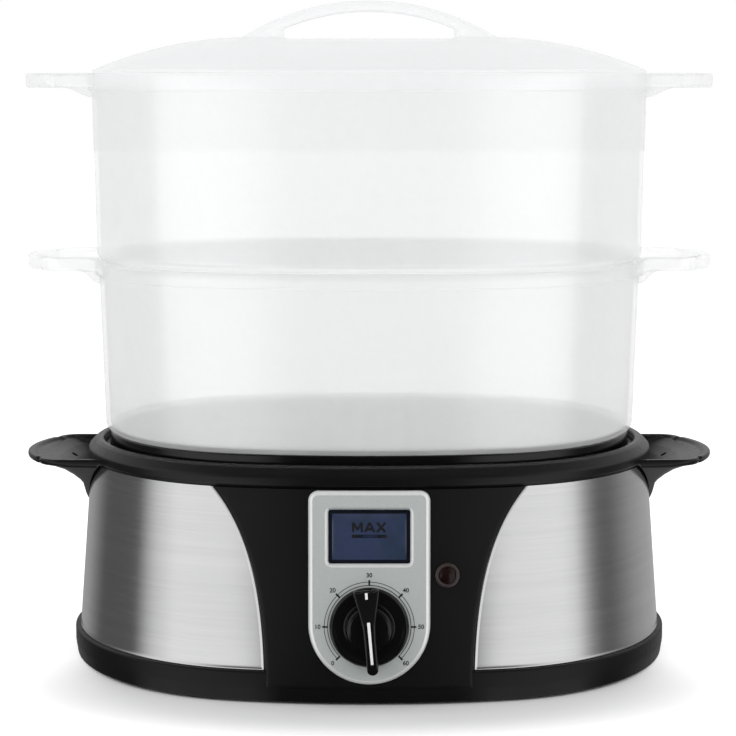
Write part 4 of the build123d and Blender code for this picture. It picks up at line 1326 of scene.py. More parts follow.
@dataclass
class WaterTank(Assembly):
    """Black collar and tub in one, with a scooped handle at each end."""

    body: str = "base"
    collar_half: float = 145.0
    bore: float = 136.8
    seat_half: float = 129.2
    rim_top: float = 113.0
    seat: float = 107.0
    tub_half: float = 127.2
    lower_half: float = 108.0
    floor_inset: float = 10.0       # from the lower wall to the ring where the floor's spokes start
    step: float = 68.0
    floor: float = 28.0
    wall: float = 2.2
    cup: float = 44.0
    grip: Grip = Grip(176.5, 41.0, 161.0)
    handle_top: float = 105.8
    drain: Triple = (155.0, 13.0, 1.6)    # place in x and y, radius
    drain_cut: Pair = (70.0, 120.0)       # heights below and above the handle
    lip: float = 3.0
    skin: float = 2.4
    keel: float = 78.0
    keel_side: float = 102.2        # keel's height at the handle's sides
    under: tuple[Pair, ...] = (     # share of the way from the steel to the outline, height
        (0, 73.0), (0.04, 77.6), (0.075, 85.6), (0.1, 89.4), (0.16, 92.0), (0.3, 95.6), (0.5, 99.2), (0.75, 101.6),
        (1.0, 102.7),
    )
    wall_lines: tuple[Pair, Pair] = ((100.0, 0.2), (88.0, 0.3))    # the handle's start above and below: height, gap

    def build(self) -> None:
        """Build the tank and its handles."""
        self.collar_and_tub()
        for side in (Side.LEFT, Side.RIGHT):
            self.handle(side)

    def collar_and_tub(self) -> None:
        """Collar, tray ledge and stepped tub, carried round the oval as one section, and the tank's floor.

        The floor is two ruled faces, from the oval at hub_edge in to a round cup, joined by the cup's wall.
        """
        low, high, wall, hub_edge = self.floor, BODY.steel_top, self.wall, self.lower_half - self.floor_inset
        section = rounded([
            (143.0, high, 0), (143.2, 104.0, 0.3), (self.collar_half, 104.0, 0.8), (self.collar_half, 108.4, 3.0),
            (141.4, 112.0, 1.2), (139.6, self.rim_top, 0.8), (137.4, self.rim_top, 0.8), (self.bore, 112.0, 0.4),
            (self.bore, self.seat, 0.6), (self.seat_half, self.seat, 1.2),
            (self.tub_half - wall, self.step + 6, 3.0), (self.lower_half - wall, self.step + 1, 3.0),
            (self.lower_half - wall - 1, low + wall, 4.0), (hub_edge, low + wall, 0),
            (hub_edge, low, 0), (self.lower_half - 1, low, 4.0), (self.lower_half, self.step - 1, 3.0),
            (self.tub_half, self.step + 4, 3.0), (self.seat_half + wall, high, 0.5),
        ], 6)
        shape = Shape().grid(round_oval(section), True, True)
        turn, share = PLAN.stations(), np.linspace(0, 1, 8)[:, None]
        cup = self.cup * joined(np.cos(turn), np.sin(turn))
        plan = PLAN.outline(hub_edge)[:, None] * (1 - share) + cup[:, None] * share
        floors = [joined(plan[..., 0], plan[..., 1], level) for level in (low + wall, low)]
        shape.grid(floors[0], True).grid(floors[1], True)
        shape.grid(np.stack([level[:, -1] for level in floors], 1), True)
        nodes = ["tank_well", "water_tank", "tank_collar"]
        self.keep(shape.build("tank_and_collar", 40), Finish.COLLAR_BLACK, "tank_plastic", nodes)

    def hull(self, y: Array, share: Array) -> Array:
        """Height of a handle's underside.

        Seen from the front it drops along a curve from the tip to a short upright keel beside the steel. Seen from
        the end the keel is a V. The underside is the higher of the two, with the crease between them rounded.

        Args:
            y: distance from the middle.
            share: 0 at the steel, 1 at the outline.

        Returns:
            Height in millimetres.
        """
        under = np.interp(share, *np.transpose(self.under))
        vee = self.keel + (self.keel_side - self.keel) * (np.abs(y) / self.grip.half_depth) ** 1.05
        return soft_max(under, vee, 1.6)

    def handle(self, side: Side) -> None:
        """Scooped handle: a dish inside a thin lip, over a boat-shaped hull with a keel.

        Both faces are height fields on one grid, which runs from the steel out to the outline in columns that
        close up at both ends. The dish sinks from the lip to a skin's thickness above the hull.

        Args:
            side: the end that the handle is at.
        """
        y = self.grip.rows(97)[:, None]
        share = 0.5 - 0.5 * np.cos(np.pi * np.linspace(0, 1, 70) ** 0.9)
        starts = [PLAN.end_x(y, BODY.steel_half(height, proud)) for height, proud in self.wall_lines]
        x_top, x = (start + (self.grip.reach(y) - start) * share for start in starts)
        inside, hull = self.grip.inside(x, y), self.hull(y, share)
        sunk = smooth_step((inside - self.lip + 0.5) / 2.4)
        dish = self.handle_top - np.minimum(hull + self.skin, self.handle_top)
        top = self.handle_top - edge_fall(inside, 1.0) - dish * sunk
        bottom = hull + edge_fall(inside, 1.2)
        flip = np.array([side.sign, 1.0, 1.0])
        whole = Shape().slab(joined(x_top, y, top) * flip, joined(x, y, bottom) * flip)
        across, along, radius = self.drain
        drains = [(across * side.sign, place) for place in (-along, along)]
        piece = pierced(whole.build(f"scoop_handle_{side.label}", 38), drains, radius, *self.drain_cut)
        self.keep(piece, Finish.COLLAR_BLACK, "tank_plastic", [f"handle_{side.label}"])


# ================================================================ controls
@dataclass
class ControlPanel(Assembly):
    """Silver control plate with its window, dial markings and pilot lamp."""

    body: str = "base"
    radius: float = 28.8
    bowl_rise: float = 1.2          # centre of the round foot above the knob's axis
    top_height: float = 102.3
    knob_height: float = 38.4
    window_height: float = 80.7
    window: Pair = (38.6, 25.4)
    window_bezel: float = 3.4       # how much wider and taller the slope round the window is
    pane_sunk: float = 1.7
    pane_margin: float = 1.8
    proud: float = 2.2
    sunk: float = 1.6
    bevel: float = 2.0
    numeral_height: float = 2.9
    tick_half: float = 0.42
    lamp_x: float = 36.9
    lamp_height: float = 62.0
    lamp_radius: float = 5.9
    arcs: tuple[Pair, Pair] = ((19.5, 0.34), (21.1, 0.3))    # radius and width
    dial_start: float = 225.0       # degrees, at 0 minutes
    dial_step: float = 45.0         # degrees for ten minutes
    numeral_radius: float = 24.4
    ink: float = 0.05

    def build(self) -> None:
        """Build every piece of the control panel."""
        self.plate()
        self.pane()
        self.markings()
        self.lamp()

    @property
    def knob_up(self) -> float:
        """Distance up the face to the knob's axis."""
        return BODY.up_face(self.knob_height)

    @property
    def window_up(self) -> float:
        """Distance up the face to the window's middle."""
        return BODY.up_face(self.window_height)

    def outline(self, inset: float) -> Array:
        """Outline of the plate, round below about the knob and square above, drawn in by an inset.

        Args:
            inset: how far it is drawn in.

        Returns:
            Points (n, 2) on the face.
        """
        radius, knob = self.radius - inset, self.knob_up + self.bowl_rise
        top = BODY.up_face(self.top_height) - inset
        below, turn = np.linspace(math.pi, 2 * math.pi, 41), np.linspace(0, math.pi / 2, 9)
        bowl = joined(radius * np.cos(below), knob + radius * np.sin(below))
        corner = max(4.8 - inset, 1.0)
        right = joined(radius - corner + corner * np.cos(turn), top - corner + corner * np.sin(turn))
        return np.concatenate([bowl, right, right[::-1] * np.array([-1.0, 1.0])])

    def plate(self) -> None:
        """Silver plate with a broad bevel round it and a second one round the window, the bevels in a lighter silver
        as a painted highlight.

        The slope down to the window is one set of loops. Its upper side, the lintel, faces down and goes with the
        plate, left out of the painted highlight. The rest of each loop goes with the highlighted bevels.
        """
        face, proud, (wide, tall), window = BODY.face(), self.proud, self.window, (0.0, self.window_up)
        depth = [(0.0, -self.sunk), (0.0, 0.2), (0.3, 0.9), (0.75, 1.55), (1.3, 2.0), (self.bevel, proud)]
        band = face.place(lifted([(self.outline(inset), rise) for inset, rise in depth]))
        bezel = self.window_bezel
        hole = rounded_box(wide + bezel, tall + bezel, bezel, window)
        slope = [(bezel, 0.0), (2.6, 0.05), (1.4, -0.5), (0.5, -1.3), (0.0, -1.9)]
        loops = face.place(lifted([
            (rounded_box(wide + grow, tall + grow, 1.2 + grow / 1.6, window), proud + rise) for grow, rise in slope
        ]))
        corner, turn = len(hole) // 4, len(hole)
        lintel = np.arange(corner + 3, 3 * corner - 3)
        rest = np.arange(lintel[-1], turn + lintel[0] + 1) % turn
        # Bevels in the lighter silver: a painted highlight.
        highlit_bevels = Shape().grid(band, False, True).grid(loops[:, rest])
        self.keep(highlit_bevels.build("plate_bevels", 60), Finish.RIM_SILVER, "silver_plastic", ["control_bezel"])
        flat = flat_plate([self.outline(self.bevel), hole], proud - 0.4, proud)
        front = Shape().add_mesh(flat, face.place).grid(loops[:, lintel])
        self.keep(front.build("plate_face", 60), Finish.SILVER, "silver_plastic")

    def pane(self) -> None:
        """Tinted level window: a dark border, a slightly domed pane, and its fill mark."""
        face, (wide, tall), level = BODY.face(), self.window, self.proud - self.pane_sunk
        border = flat_plate([rounded_box(wide, tall, 1.4, (0, self.window_up))], level - 1.4, level)
        piece = Shape().add_mesh(border, face.place).build("window_border")
        self.keep(piece, Finish.WINDOW_EDGE, "window")
        u, v = (np.sin(np.linspace(-1, 1, count) * np.pi / 2) for count in (41, 29))
        u, v = u[None, :], v[:, None]
        rise = level + 0.05 + 0.45 * (1 - u**8) * (1 - v**8)
        half_wide, half_tall = wide / 2 - self.pane_margin, tall / 2 - self.pane_margin
        grid = joined(u * half_wide, v * half_tall + self.window_up, rise)
        base = grid * np.array([1, 1, 0]) + np.array([0, 0, level - 1.0])
        pane = Shape().slab(face.place(grid), face.place(base)).build("window_pane", 60)
        self.keep(pane, Finish.WINDOW, "window", ["level_window"])
        letters = (    # strokes of M, A and X, one unit high
            ((0, 0), (0, 1)), ((0, 1), (0.5, 0.25)), ((0.5, 0.25), (1, 1)), ((1, 1), (1, 0)),
            ((1.35, 0), (1.9, 1)), ((1.9, 1), (2.45, 0)), ((1.6, 0.3), (2.2, 0.3)),
            ((2.75, 0), (3.7, 1)), ((2.75, 1), (3.7, 0)),
        )
        bars = [stroke(low, high, 0.26) * np.array([4.1, 4.5]) - np.array([7.6, -2.2]) for low, high in letters]
        bars.append(stroke((-8.2, 0.2), (8.2, 0.2), 1.6))
        mark = Shape()
        for number, bar in enumerate(bars):
            top = joined(bar[..., 0], bar[..., 1] + self.window_up, level + 0.5 + 0.01 * (number % 3))
            mark.slab(face.place(top), face.place(top - [0, 0, 0.1]))
        self.keep(mark.build("fill_mark"), Finish.DARK_INK, "window")

    def markings(self) -> None:
        """Dial markings: two arcs round the knob, a tick at each eighth turn and the minutes beside it."""
        face = BODY.face().raised(self.proud)
        centre, ink = np.array([0, self.knob_up, 0.03]), np.array([0, 0, self.ink])
        shape = Shape()
        sweep = np.radians(np.linspace(self.dial_start - 6 * self.dial_step, self.dial_start, 109))
        for radius, width in self.arcs:
            across = np.array([[radius], [radius + width]])
            rim = joined(across * np.cos(sweep), across * np.sin(sweep), 0.0) + centre
            shape.slab(face.place(rim), face.place(rim - ink))
        for number in range(7):
            angle = math.radians(self.dial_start - self.dial_step * number)
            outward = np.array([math.cos(angle), math.sin(angle), 0])
            side = np.array([-math.sin(angle), math.cos(angle), 0]) * self.tick_half
            inner, outer = outward * self.arcs[0][0], outward * (self.arcs[1][0] + 1.1)
            tick = np.array([[inner - side, inner + side], [outer - side, outer + side]]) + centre + [0, 0, 0.01]
            shape.slab(face.place(tick), face.place(tick - ink))
            spot = outward * self.numeral_radius + centre
            mesh = lettering(str(number * 10), self.numeral_height, self.ink, 0.06)
            shape.add_mesh(mesh, lambda points, s=spot: face.place(points + s))
        self.keep(shape.build("dial_markings"), Finish.DARK_INK, "silver_plastic")

    def lamp_face(self) -> Facing:
        """Flat of the pilot lamp, square to the curved panel beside the plate.

        Returns:
            The frame, with its origin on the panel.
        """
        half = BODY.panel_half(self.lamp_height)
        y = float(PLAN.front_y(np.array(self.lamp_x), half))
        turn, lean = math.atan2(self.lamp_x, PLAN.flat_centre - y), BODY.lean
        across = np.array([math.cos(turn), math.sin(turn), 0])
        out = np.array([math.sin(turn) * math.cos(lean), -math.cos(turn) * math.cos(lean), math.sin(lean)])
        return Facing(np.array([self.lamp_x, y, self.lamp_height]), across, np.cross(out, across), out)

    def lamp(self) -> None:
        """Pilot lamp: a rounded dark ring round a low dome of dark red."""
        face, radius = self.lamp_face(), self.lamp_radius
        ring = rounded([
            (3.95, -0.6, 0), (radius, -0.6, 0), (radius, 0.9, 0.8), (4.9, 1.2, 0.5), (4.2, 0.7, 0.3), (3.95, 0.4, 0.1),
        ])
        piece = Shape().grid(face.place(turned(ring, 56)), True, True).build("lamp_ring")
        self.keep(piece, Finish.LAMP_RING, "black_plastic", ["pilot_lamp_lens"])
        bend = np.linspace(0, 1, 9)[:-1] * math.pi / 2
        dome = joined(4.05 * np.cos(bend), 0.35 + 1.6 * np.sin(bend))
        section = np.concatenate([[[4.05, -0.6]], dome, [[0.001, 1.95], [0.001, -0.6]]])
        lens = Shape().grid(face.place(turned(section, 56)), True, True).build("lamp_lens", 60)
        self.keep(lens, Finish.LAMP, "lamp_lens")


@dataclass
class TimerKnob(Assembly):
    """Timer knob: a dished skirt, a hub and a grip bar with its white pointer."""

    body: str = "timer_control"
    radius: float = 18.8
    seat: float = 2.7
    hub: float = 10.4
    rest_turn: float = 5.0
    grip_top: float = 16.5
    grip_fall: float = 11.0         # how far the crest slopes down to the head
    tail: float = -18.6
    nub: float = 2.65
    head: float = 18.0
    head_round: float = 1.6
    widths: tuple[Pair, ...] = (    # distance up the grip bar, half width: narrow below the hub, flaring above
        (-21.3, 2.5), (-18.6, 2.65), (-4, 2.75), (2, 3.0), (8, 4.1), (13, 5.3), (18, 6.3),
    )

    def build(self) -> None:
        """Build the knob and its pointer."""
        face = BODY.face()
        middle = face.place(np.array([0, ControlPanel().knob_up, 0]))
        knob = Facing(middle, face.across, face.up, face.out).turned(self.rest_turn)
        self.turned_body(knob)
        self.grip_bar(knob)
        self.pointer(knob)

    def turned_body(self, knob: Facing) -> None:
        """Skirt with a rounded edge and a shallow dish round the raised hub.

        Args:
            knob: frame on the knob's axis.
        """
        low, rim, hub = self.seat, self.radius, self.hub
        section = rounded([
            (AXIS, low, 0), (rim, low, 0.2), (rim, low + 1.4, 0.5), (rim - 1.1, low + 3.0, 0.8),
            (rim - 3.0, low + 2.6, 0.6), (hub + 1.2, low + 2.4, 0.8), (hub, low + 8.4, 0.9),
            (hub - 1.6, low + 8.9, 0.6), (AXIS, low + 8.9, 0),
        ])
        piece = Shape().grid(knob.place(turned(section, 96)), True, True).build("knob_body", 40)
        self.keep(piece, Finish.GLOSS_BLACK, "knob_plastic", ["timer_knob"])

    def crest(self, v: Array) -> Array:
        """Height of the grip bar's crest: level to just above the hub's middle, then sloping down to its head."""
        fall = smooth_step((v - 2.0) / (self.head + 6.0)) * self.grip_fall
        return self.grip_top - fall - 0.8 * np.clip(-v / 20, 0, 1) ** 3

    def grip_bar(self, knob: Facing) -> None:
        """Grip bar with a rounded crest.

        Rows run along the bar and columns across it. Half the width is read off widths, and closes in a half circle
        at the tail. The crest is level in the middle and rolls down at its edges as a quarter round.

        Args:
            knob: frame on the knob's axis.
        """
        shoulder = self.head - self.head_round
        run = np.concatenate([
            self.tail - self.nub * np.cos(np.linspace(0, math.pi / 2, 9)),
            np.linspace(self.tail, shoulder, 40)[1:],
            shoulder + self.head_round * np.sin(np.linspace(0, math.pi / 2, 8))[1:],
        ])[:, None]
        past_tail = np.clip((self.tail - run) / self.nub, 0, 1)
        past_head = np.clip((run - shoulder) / self.head_round, 0, 1)
        half = np.interp(run, *np.transpose(self.widths)) * np.sqrt(np.maximum(1 - past_tail**2, 1e-6))
        half = half - 1.2 * (1 - np.sqrt(1 - past_head**2))
        across = np.sin(np.linspace(-math.pi / 2, math.pi / 2, 23))
        u, gap = half * across, half * (1 - np.abs(across))
        top = self.crest(run) - 2.2 * past_tail**2 - edge_fall(gap, 1.1) - past_head**3
        upper, lower = joined(u, run, top), joined(u * 1.08, run, self.seat + 0.2)
        piece = Shape().slab(knob.place(upper), knob.place(lower)).build("knob_grip", 50)
        self.keep(piece, Finish.GLOSS_BLACK, "knob_plastic")

    def pointer(self, knob: Facing) -> None:
        """White pointer line from the hub to near the tail, and a short mark at the bar's head.

        Args:
            knob: frame on the knob's axis.
        """
        shape = Shape()
        for low, high, wide_low, wide_high in ((-15.6, 4.2, 0.6, 0.7), (14.3, 17.0, 0.6, 0.6)):
            v = np.linspace(low, high, 24)
            wide = np.interp(v, [low, high], [wide_low, wide_high])
            top = joined(np.array([[-1], [0], [1]]) * wide, v, self.crest(v) + 0.04)
            shape.slab(knob.place(top), knob.place(top - [0, 0, 0.3]))
        self.keep(shape.build("knob_pointer"), Finish.WHITE_INK, "knob_plastic")


# ================================================================ tray, baskets, lid
@dataclass
class DripTray(Assembly):
    """Drip tray: a gutter with a standing rim and three steam chimneys."""

    body: str = "tray"
    floor: float = 99.2
    seat: float = 107.2
    top: float = 116.8
    sheet: float = 2.0
    rim_half: float = 133.4
    plate_half: float = 117.5
    chimneys: tuple[Triple, ...] = ((0, 64, 36), (-76, 30, 44), (76, 30, 44))    # place in x, length, depth
    chimney_height: float = 11.0

    def build(self) -> None:
        """Build the tray."""
        low, top, sheet, rim = self.floor, self.top, self.sheet, self.rim_half
        seat, edge = self.seat, self.seat + sheet
        section = rounded([
            (117.0, low, 0), (126.4, low, 2.5), (128.6, seat, 0.4), (136.3, seat, 0.5), (136.3, edge, 0.5),
            (rim, edge, 0.8), (rim, top, 0.8), (rim - sheet, top, 0.8), (rim - sheet, edge, 0.5), (126.8, edge, 1.0),
            (124.8, low + sheet, 2.0), (117.0, low + sheet, 0),
        ])
        shape = Shape().grid(round_oval(section), True, True)
        loops = [PLAN.outline(self.plate_half)]
        for x, length, depth in self.chimneys:
            outer = rounded_box(length, depth, 12, (x, 0))
            inner = rounded_box(length - 2 * sheet, depth - 2 * sheet, 12 - sheet, (x, 0))
            mouth = low + self.chimney_height
            shape.grid(lifted([(outer, low + sheet), (outer, mouth), (inner, mouth), (inner, low)]), True, True)
            loops.append(inner)
        shape.add_mesh(flat_plate(loops, low, low + sheet))
        self.keep(shape.build("drip_tray_skin"), Finish.GLOSS_BLACK, "tray_plastic", ["drip_tray"])


@dataclass
class SteamRing(Assembly):
    """Steam ring that stands round the hotplate, with arched notches for the water."""

    body: str = "diffuser"
    radius: float = 56.0
    foot: float = 30.4
    height: float = 44.0
    sheet: float = 2.0
    lip: float = 12.0
    arch: Pair = (10.0, 4.0)        # half width and height

    def build(self) -> None:
        """Build the ring.

        The wall's lower edge rises over four arches: at a distance d along the foot from an arch's middle it stands
        at the square root of (half width squared - d squared), scaled to the arch's height.
        """
        angle = np.linspace(0, 2 * math.pi, 192, endpoint=False)
        off = (angle + math.pi / 4) % (math.pi / 2) - math.pi / 4
        half_width, rise = self.arch
        foot = self.foot + rise * np.sqrt(np.clip(1 - (off * self.radius / half_width) ** 2, 0, 1))
        top, under = self.foot + self.height, self.foot + self.height - self.sheet
        outside, inside, mouth = self.radius, self.radius - self.sheet, self.radius - self.lip
        rows = [(outside, foot), (outside, top), (outside - 0.6, top), (mouth, top), (mouth, under), (inside, under),
                (inside, foot)]
        grid = np.stack([joined(reach * np.cos(angle), reach * np.sin(angle), level) for reach, level in rows], axis=1)
        piece = Shape().grid(grid, True, True).build("steam_ring_skin")
        self.keep(piece, Finish.NATURAL, "inner_plastic", ["steam_ring"])


@dataclass
class Basket(Assembly):
    """Translucent basket: a drafted wall with a rolled rim, two ears and a slotted floor."""

    body: str
    tier: str
    half: float
    draft: float
    bottom: float
    rim: float
    rim_band: float
    plug_half: float
    floor_half: float
    ear_tip: float
    ear_lift: float = 0.0
    ear_thickness: float = 7.2
    ear_half: float = 37.0
    ear_bow: float = 17.0           # from the ear's shoulder to its tip
    wall: float = 2.2
    overhang: float = 2.2
    plug_depth: float = 3.6
    floor_sheet: float = 2.0
    slot: Pair = (15.0, 3.2)        # length and width
    slot_pitch: Pair = (20.0, 7.0)
    slot_counts: tuple[int, int] = (7, 14)    # most columns and rows on each side of the middle
    slot_edge: float = 9.0
    ear_dish: float = 1.1
    gusset: float = 5.0
    gusset_half: float = 20.0

    def build(self) -> None:
        """Build the basket's pieces."""
        self.wall_and_rim()
        self.ears()
        self.slotted_floor()

    @property
    def top_half(self) -> float:
        """Half length of the wall's outer face at the rim."""
        return self.half + self.draft * (self.rim - self.bottom)

    def wall_and_rim(self) -> None:
        """Wall, rim and nesting plug: one section with a rounded heel, carried round the oval."""
        low, rim, top, under = self.bottom, self.rim, self.top_half, self.rim - self.rim_band
        edge, sheet, plug, tip = top + self.overhang, self.floor_sheet, self.plug_half, low - self.plug_depth
        section = rounded([
            (self.half, low, 4.5), (top, under, 0.8), (edge, under + 0.6, 0.5), (edge, rim, 0.9),
            (top + 0.2, rim, 0.3), (top - 0.6, rim - 1.0, 0.4), (top - self.wall, rim - 1.4, 0.6),
            (self.half - self.wall, low + sheet, 2.2), (plug - sheet, low + sheet, 0.4), (plug - sheet, tip, 0.6),
            (plug, tip, 0.6), (plug, low, 0.4),
        ])
        piece = Shape().grid(round_oval(section), True, True).build(f"{self.tier}_basket_wall", 40)
        self.keep(piece, Finish.BASKET, "basket_plastic", [f"{self.tier}_basket", f"{self.tier}_foot"])

    def ears(self) -> None:
        """Two ears at the rim.

        Height fields on a grid from the wall to the ear's outline: the upper face sinks slightly inside a lip, the
        lower face swells into a gusset by the wall, and both have rounded edges.
        """
        grip = Grip(self.ear_tip, self.ear_half, self.ear_tip - self.ear_bow)
        y = grip.rows(61)[:, None]
        share = np.sin(np.linspace(0, math.pi / 2, 40))
        start = PLAN.end_x(y, self.top_half - 0.8)
        x = start + (grip.reach(y) - start) * share
        inside = grip.inside(x, y)
        level = self.rim + self.ear_lift * smooth_step(share * 6 - 0.4)
        dish = self.ear_dish * smooth_step((inside - 2.6) / 2.0) * smooth_step(share * 8 - 0.4)
        gusset = self.gusset * (1 - smooth_step(share * 2.2)) * smooth_step((self.gusset_half - np.abs(y)) / 6)
        top = level - edge_fall(inside, 1.4) - dish
        bottom = level - self.ear_thickness + edge_fall(inside, 1.8) - gusset
        shape = both_ends(Shape(), joined(x, y, top), joined(x, y, bottom))
        self.keep(shape.build(f"{self.tier}_ear_pair", 45), Finish.BASKET, "basket_plastic", [f"{self.tier}_ears"])

    def slotted_floor(self) -> None:
        """Floor with rows of slots, every other row moved along by half a pitch."""
        pitch_x, pitch_y = self.slot_pitch
        columns, rows = (range(-count, count + 1) for count in self.slot_counts)
        spots = [(column * pitch_x + (row % 2) * pitch_x / 2, row * pitch_y) for row in rows for column in columns]
        limit = self.floor_half - self.slot_edge
        loops = [PLAN.outline(self.floor_half)]
        loops += [stadium(*self.slot, (x, y)) for x, y in spots if self._inside(abs(x) + self.slot[0] / 2, y, limit)]
        level = self.bottom + self.floor_sheet
        mesh = flat_plate(loops, level, level + self.floor_sheet)
        piece = Shape().add_mesh(mesh).build(f"{self.tier}_basket_grid")
        self.keep(piece, Finish.BASKET, "basket_plastic", [f"{self.tier}_basket_floor"])

    @staticmethod
    def _inside(x: float, y: float, half: float) -> bool:
        """Whether a point right of the middle lies inside the oval of a half length.

        Args:
            x: place in X.
            y: place in Y.
            half: half length of the oval.

        Returns:
            True inside.
        """
        if x > PLAN.end_centre:
            return math.hypot(x - PLAN.end_centre, y) < half - PLAN.end_centre
        return abs(y) < -float(PLAN.front_y(np.array(x), half))


@dataclass
class Lid(Assembly):
    """Domed lid with a finger pocket and an arched handle."""

    body: str = "cover"
    edge_half: float = 139.9
    edge: float = 298.0
    edge_round: float = 1.2
    skirt_half: float = 137.5
    skirt_bottom: float = 288.0
    skirt_sheet: float = 2.0
    wall: float = 2.4
    dome_top: float = 315.9
    dome_radius: float = 201.0
    crown_half: float = 60.0
    pocket_floor: float = 314.3
    pocket_half: float = 42.3
    vent: Triple = (88.0, 12.0, 1.8)    # place in x and y, radius
    arch_half: float = 66.0
    arch_inner_half: float = 42.3
    arch_top: float = 334.3
    arch_thickness: float = 5.6
    arch_width: float = 24.0
    arch_foot: float = 314.8
    arch_inner_foot: float = 320.5
    arch_heel: float = 55.0         # where the closing fans of the feet meet
    arch_toes: tuple[tuple[Pair, Pair], ...] = (((0.7, -0.6), (1.8, -1.6)), ((0.8, -0.5), (1.0, -7.0)))

    def build(self) -> None:
        """Build the lid's pieces."""
        self.dome()
        self.arch()

    def dome_height(self, half: Measure, depth: float = 0.0) -> Measure:
        """Height of the dome's arc at a half length, level inside the crown."""
        run = np.maximum(half - self.crown_half, 0)
        return self.dome_top - self.dome_radius + np.sqrt((self.dome_radius - depth) ** 2 - run**2)

    def pocketed(self, x: Array, height: Measure) -> Array:
        """A height held down to the pocket's floor under the arch."""
        under = 1 - smooth_step((np.abs(x) - self.pocket_half + 1.5) / 2.5)
        return height - np.maximum(height - self.pocket_floor, 0) * under

    def dome(self) -> None:
        """Dome, rolled edge and skirt: one section round the oval, closed by a crown with the pocket."""
        steps, shoulder, half, low = 46, self.edge_half - self.edge_round, self.skirt_half, self.edge
        inside = half - self.skirt_sheet
        halves = np.linspace(self.crown_half, shoulder, steps)
        inner_halves = np.linspace(inside, self.crown_half - 2, 24)
        edge = rounded([
            (shoulder, self.dome_height(shoulder), 0), (self.edge_half, low + self.edge_round, 0.5),
            (self.edge_half, low, 0.3), (inside, low, 0.2), (inside, self.dome_height(inside, self.wall), 0),
        ], 3)
        outer = joined(halves, self.dome_height(halves))
        inner = joined(inner_halves, self.dome_height(inner_halves, self.wall))
        grid = round_oval(np.concatenate([outer, edge[1:-1], inner]))
        grid[:, :steps, 2] = self.pocketed(grid[:, :steps, 0], grid[:, :steps, 2])
        shape = Shape().grid(grid, True)
        shape.grid(crown(grid[:, 0], 14, lambda x: self.pocketed(x, self.dome_top)), True)
        shape.grid(crown(grid[:, -1], 6, lambda _: self.dome_top - self.wall), True)
        *spot, radius = self.vent
        piece = pierced(shape.build("lid_dome", 34), four_spots(*spot), radius, low, self.dome_top + 5)
        self.keep(piece, Finish.LID, "lid_plastic", ["lid"])
        foot = self.skirt_bottom
        ring = rounded([(half, foot, 0.6), (half, low, 0), (inside, low, 0), (inside, foot, 0.6)])
        piece = Shape().grid(round_oval(ring), True, True).build("lid_plug_ring")
        self.keep(piece, Finish.RIM, "lid_plastic", ["lid_skirt"])

    def arch(self) -> None:
        """Arched handle.

        The outer line is a circle's arc from foot to foot through the top, and the inner line one below it. At
        each step a rounded rectangle spans the two lines: its corner follows a superellipse of power four.
        """
        top, inner_top, toes = self.arch_top, self.arch_top - self.arch_thickness, self.arch_toes
        outer = self._line(self.arch_half, self.arch_foot, top, toes[0])
        inner = self._line(self.arch_inner_half, self.arch_inner_foot, inner_top, toes[1])
        around = np.linspace(0, 2 * math.pi, 40, endpoint=False)
        rise, wide = (np.sign(side) * np.abs(side) ** 0.5 for side in (np.sin(around), np.cos(around)))
        middle, span = (outer + inner)[..., None] / 2, (outer - inner)[..., None] / 2
        x, z = np.moveaxis(middle + span * rise, 1, 0)
        grid = joined(x, wide * self.arch_width / 2, z)
        shape = Shape().grid(grid, False, True)
        for end, place in ((0, -self.arch_heel), (-1, self.arch_heel)):
            shape.lid_over(grid[end], np.array([place, 0, self.pocket_floor - 1]))
        self.keep(shape.build("lid_arch", 50), Finish.LID, "lid_plastic", ["lid_handle"])

    @staticmethod
    def _line(half: float, foot: float, top: float, toe: Sequence[Pair]) -> Array:
        """Points (x, z) of the arc through both feet and the top, carried on by a toe's two steps at each end.

        Args:
            half: half the distance between the feet.
            foot: height of the feet.
            top: height of the top.
            toe: two steps on from the right-hand foot.

        Returns:
            Points (n, 2) from left to right.
        """
        rise = top - foot
        radius = (half**2 + rise**2) / (2 * rise)
        angle = np.linspace(-1, 1, 61) * math.asin(half / radius)
        line = joined(radius * np.sin(angle), top - radius + radius * np.cos(angle))
        down = line[-1] + np.array(toe)
        return np.concatenate([down[::-1] * (-1, 1), line, down])


# CAD nodes that keep their own shape, with their finish.
INNER_PARTS: dict[str, Finish] = {
    "housing_shell": Finish.SATIN_BLACK,
    "cover_screws": Finish.ZINC,
    "heating_plate": Finish.HOTPLATE,
    "heater_seal": Finish.RUBBER,
    "heating_element": Finish.CAST,
    "heater_clamp": Finish.ZINC,
    "heater_screws": Finish.ZINC,
    "thermostat": Finish.CAST,
    "thermal_fuse": Finish.ZINC,
    "gauge_chamber": Finish.NATURAL,
    "neon_lamp": Finish.NEON,
    "timer_body": Finish.CASE,
    "timer_bell": Finish.CASE,
    "timer_screws": Finish.ZINC,
    "terminal_block": Finish.NATURAL,
    "timer_shaft": Finish.ZINC,
}


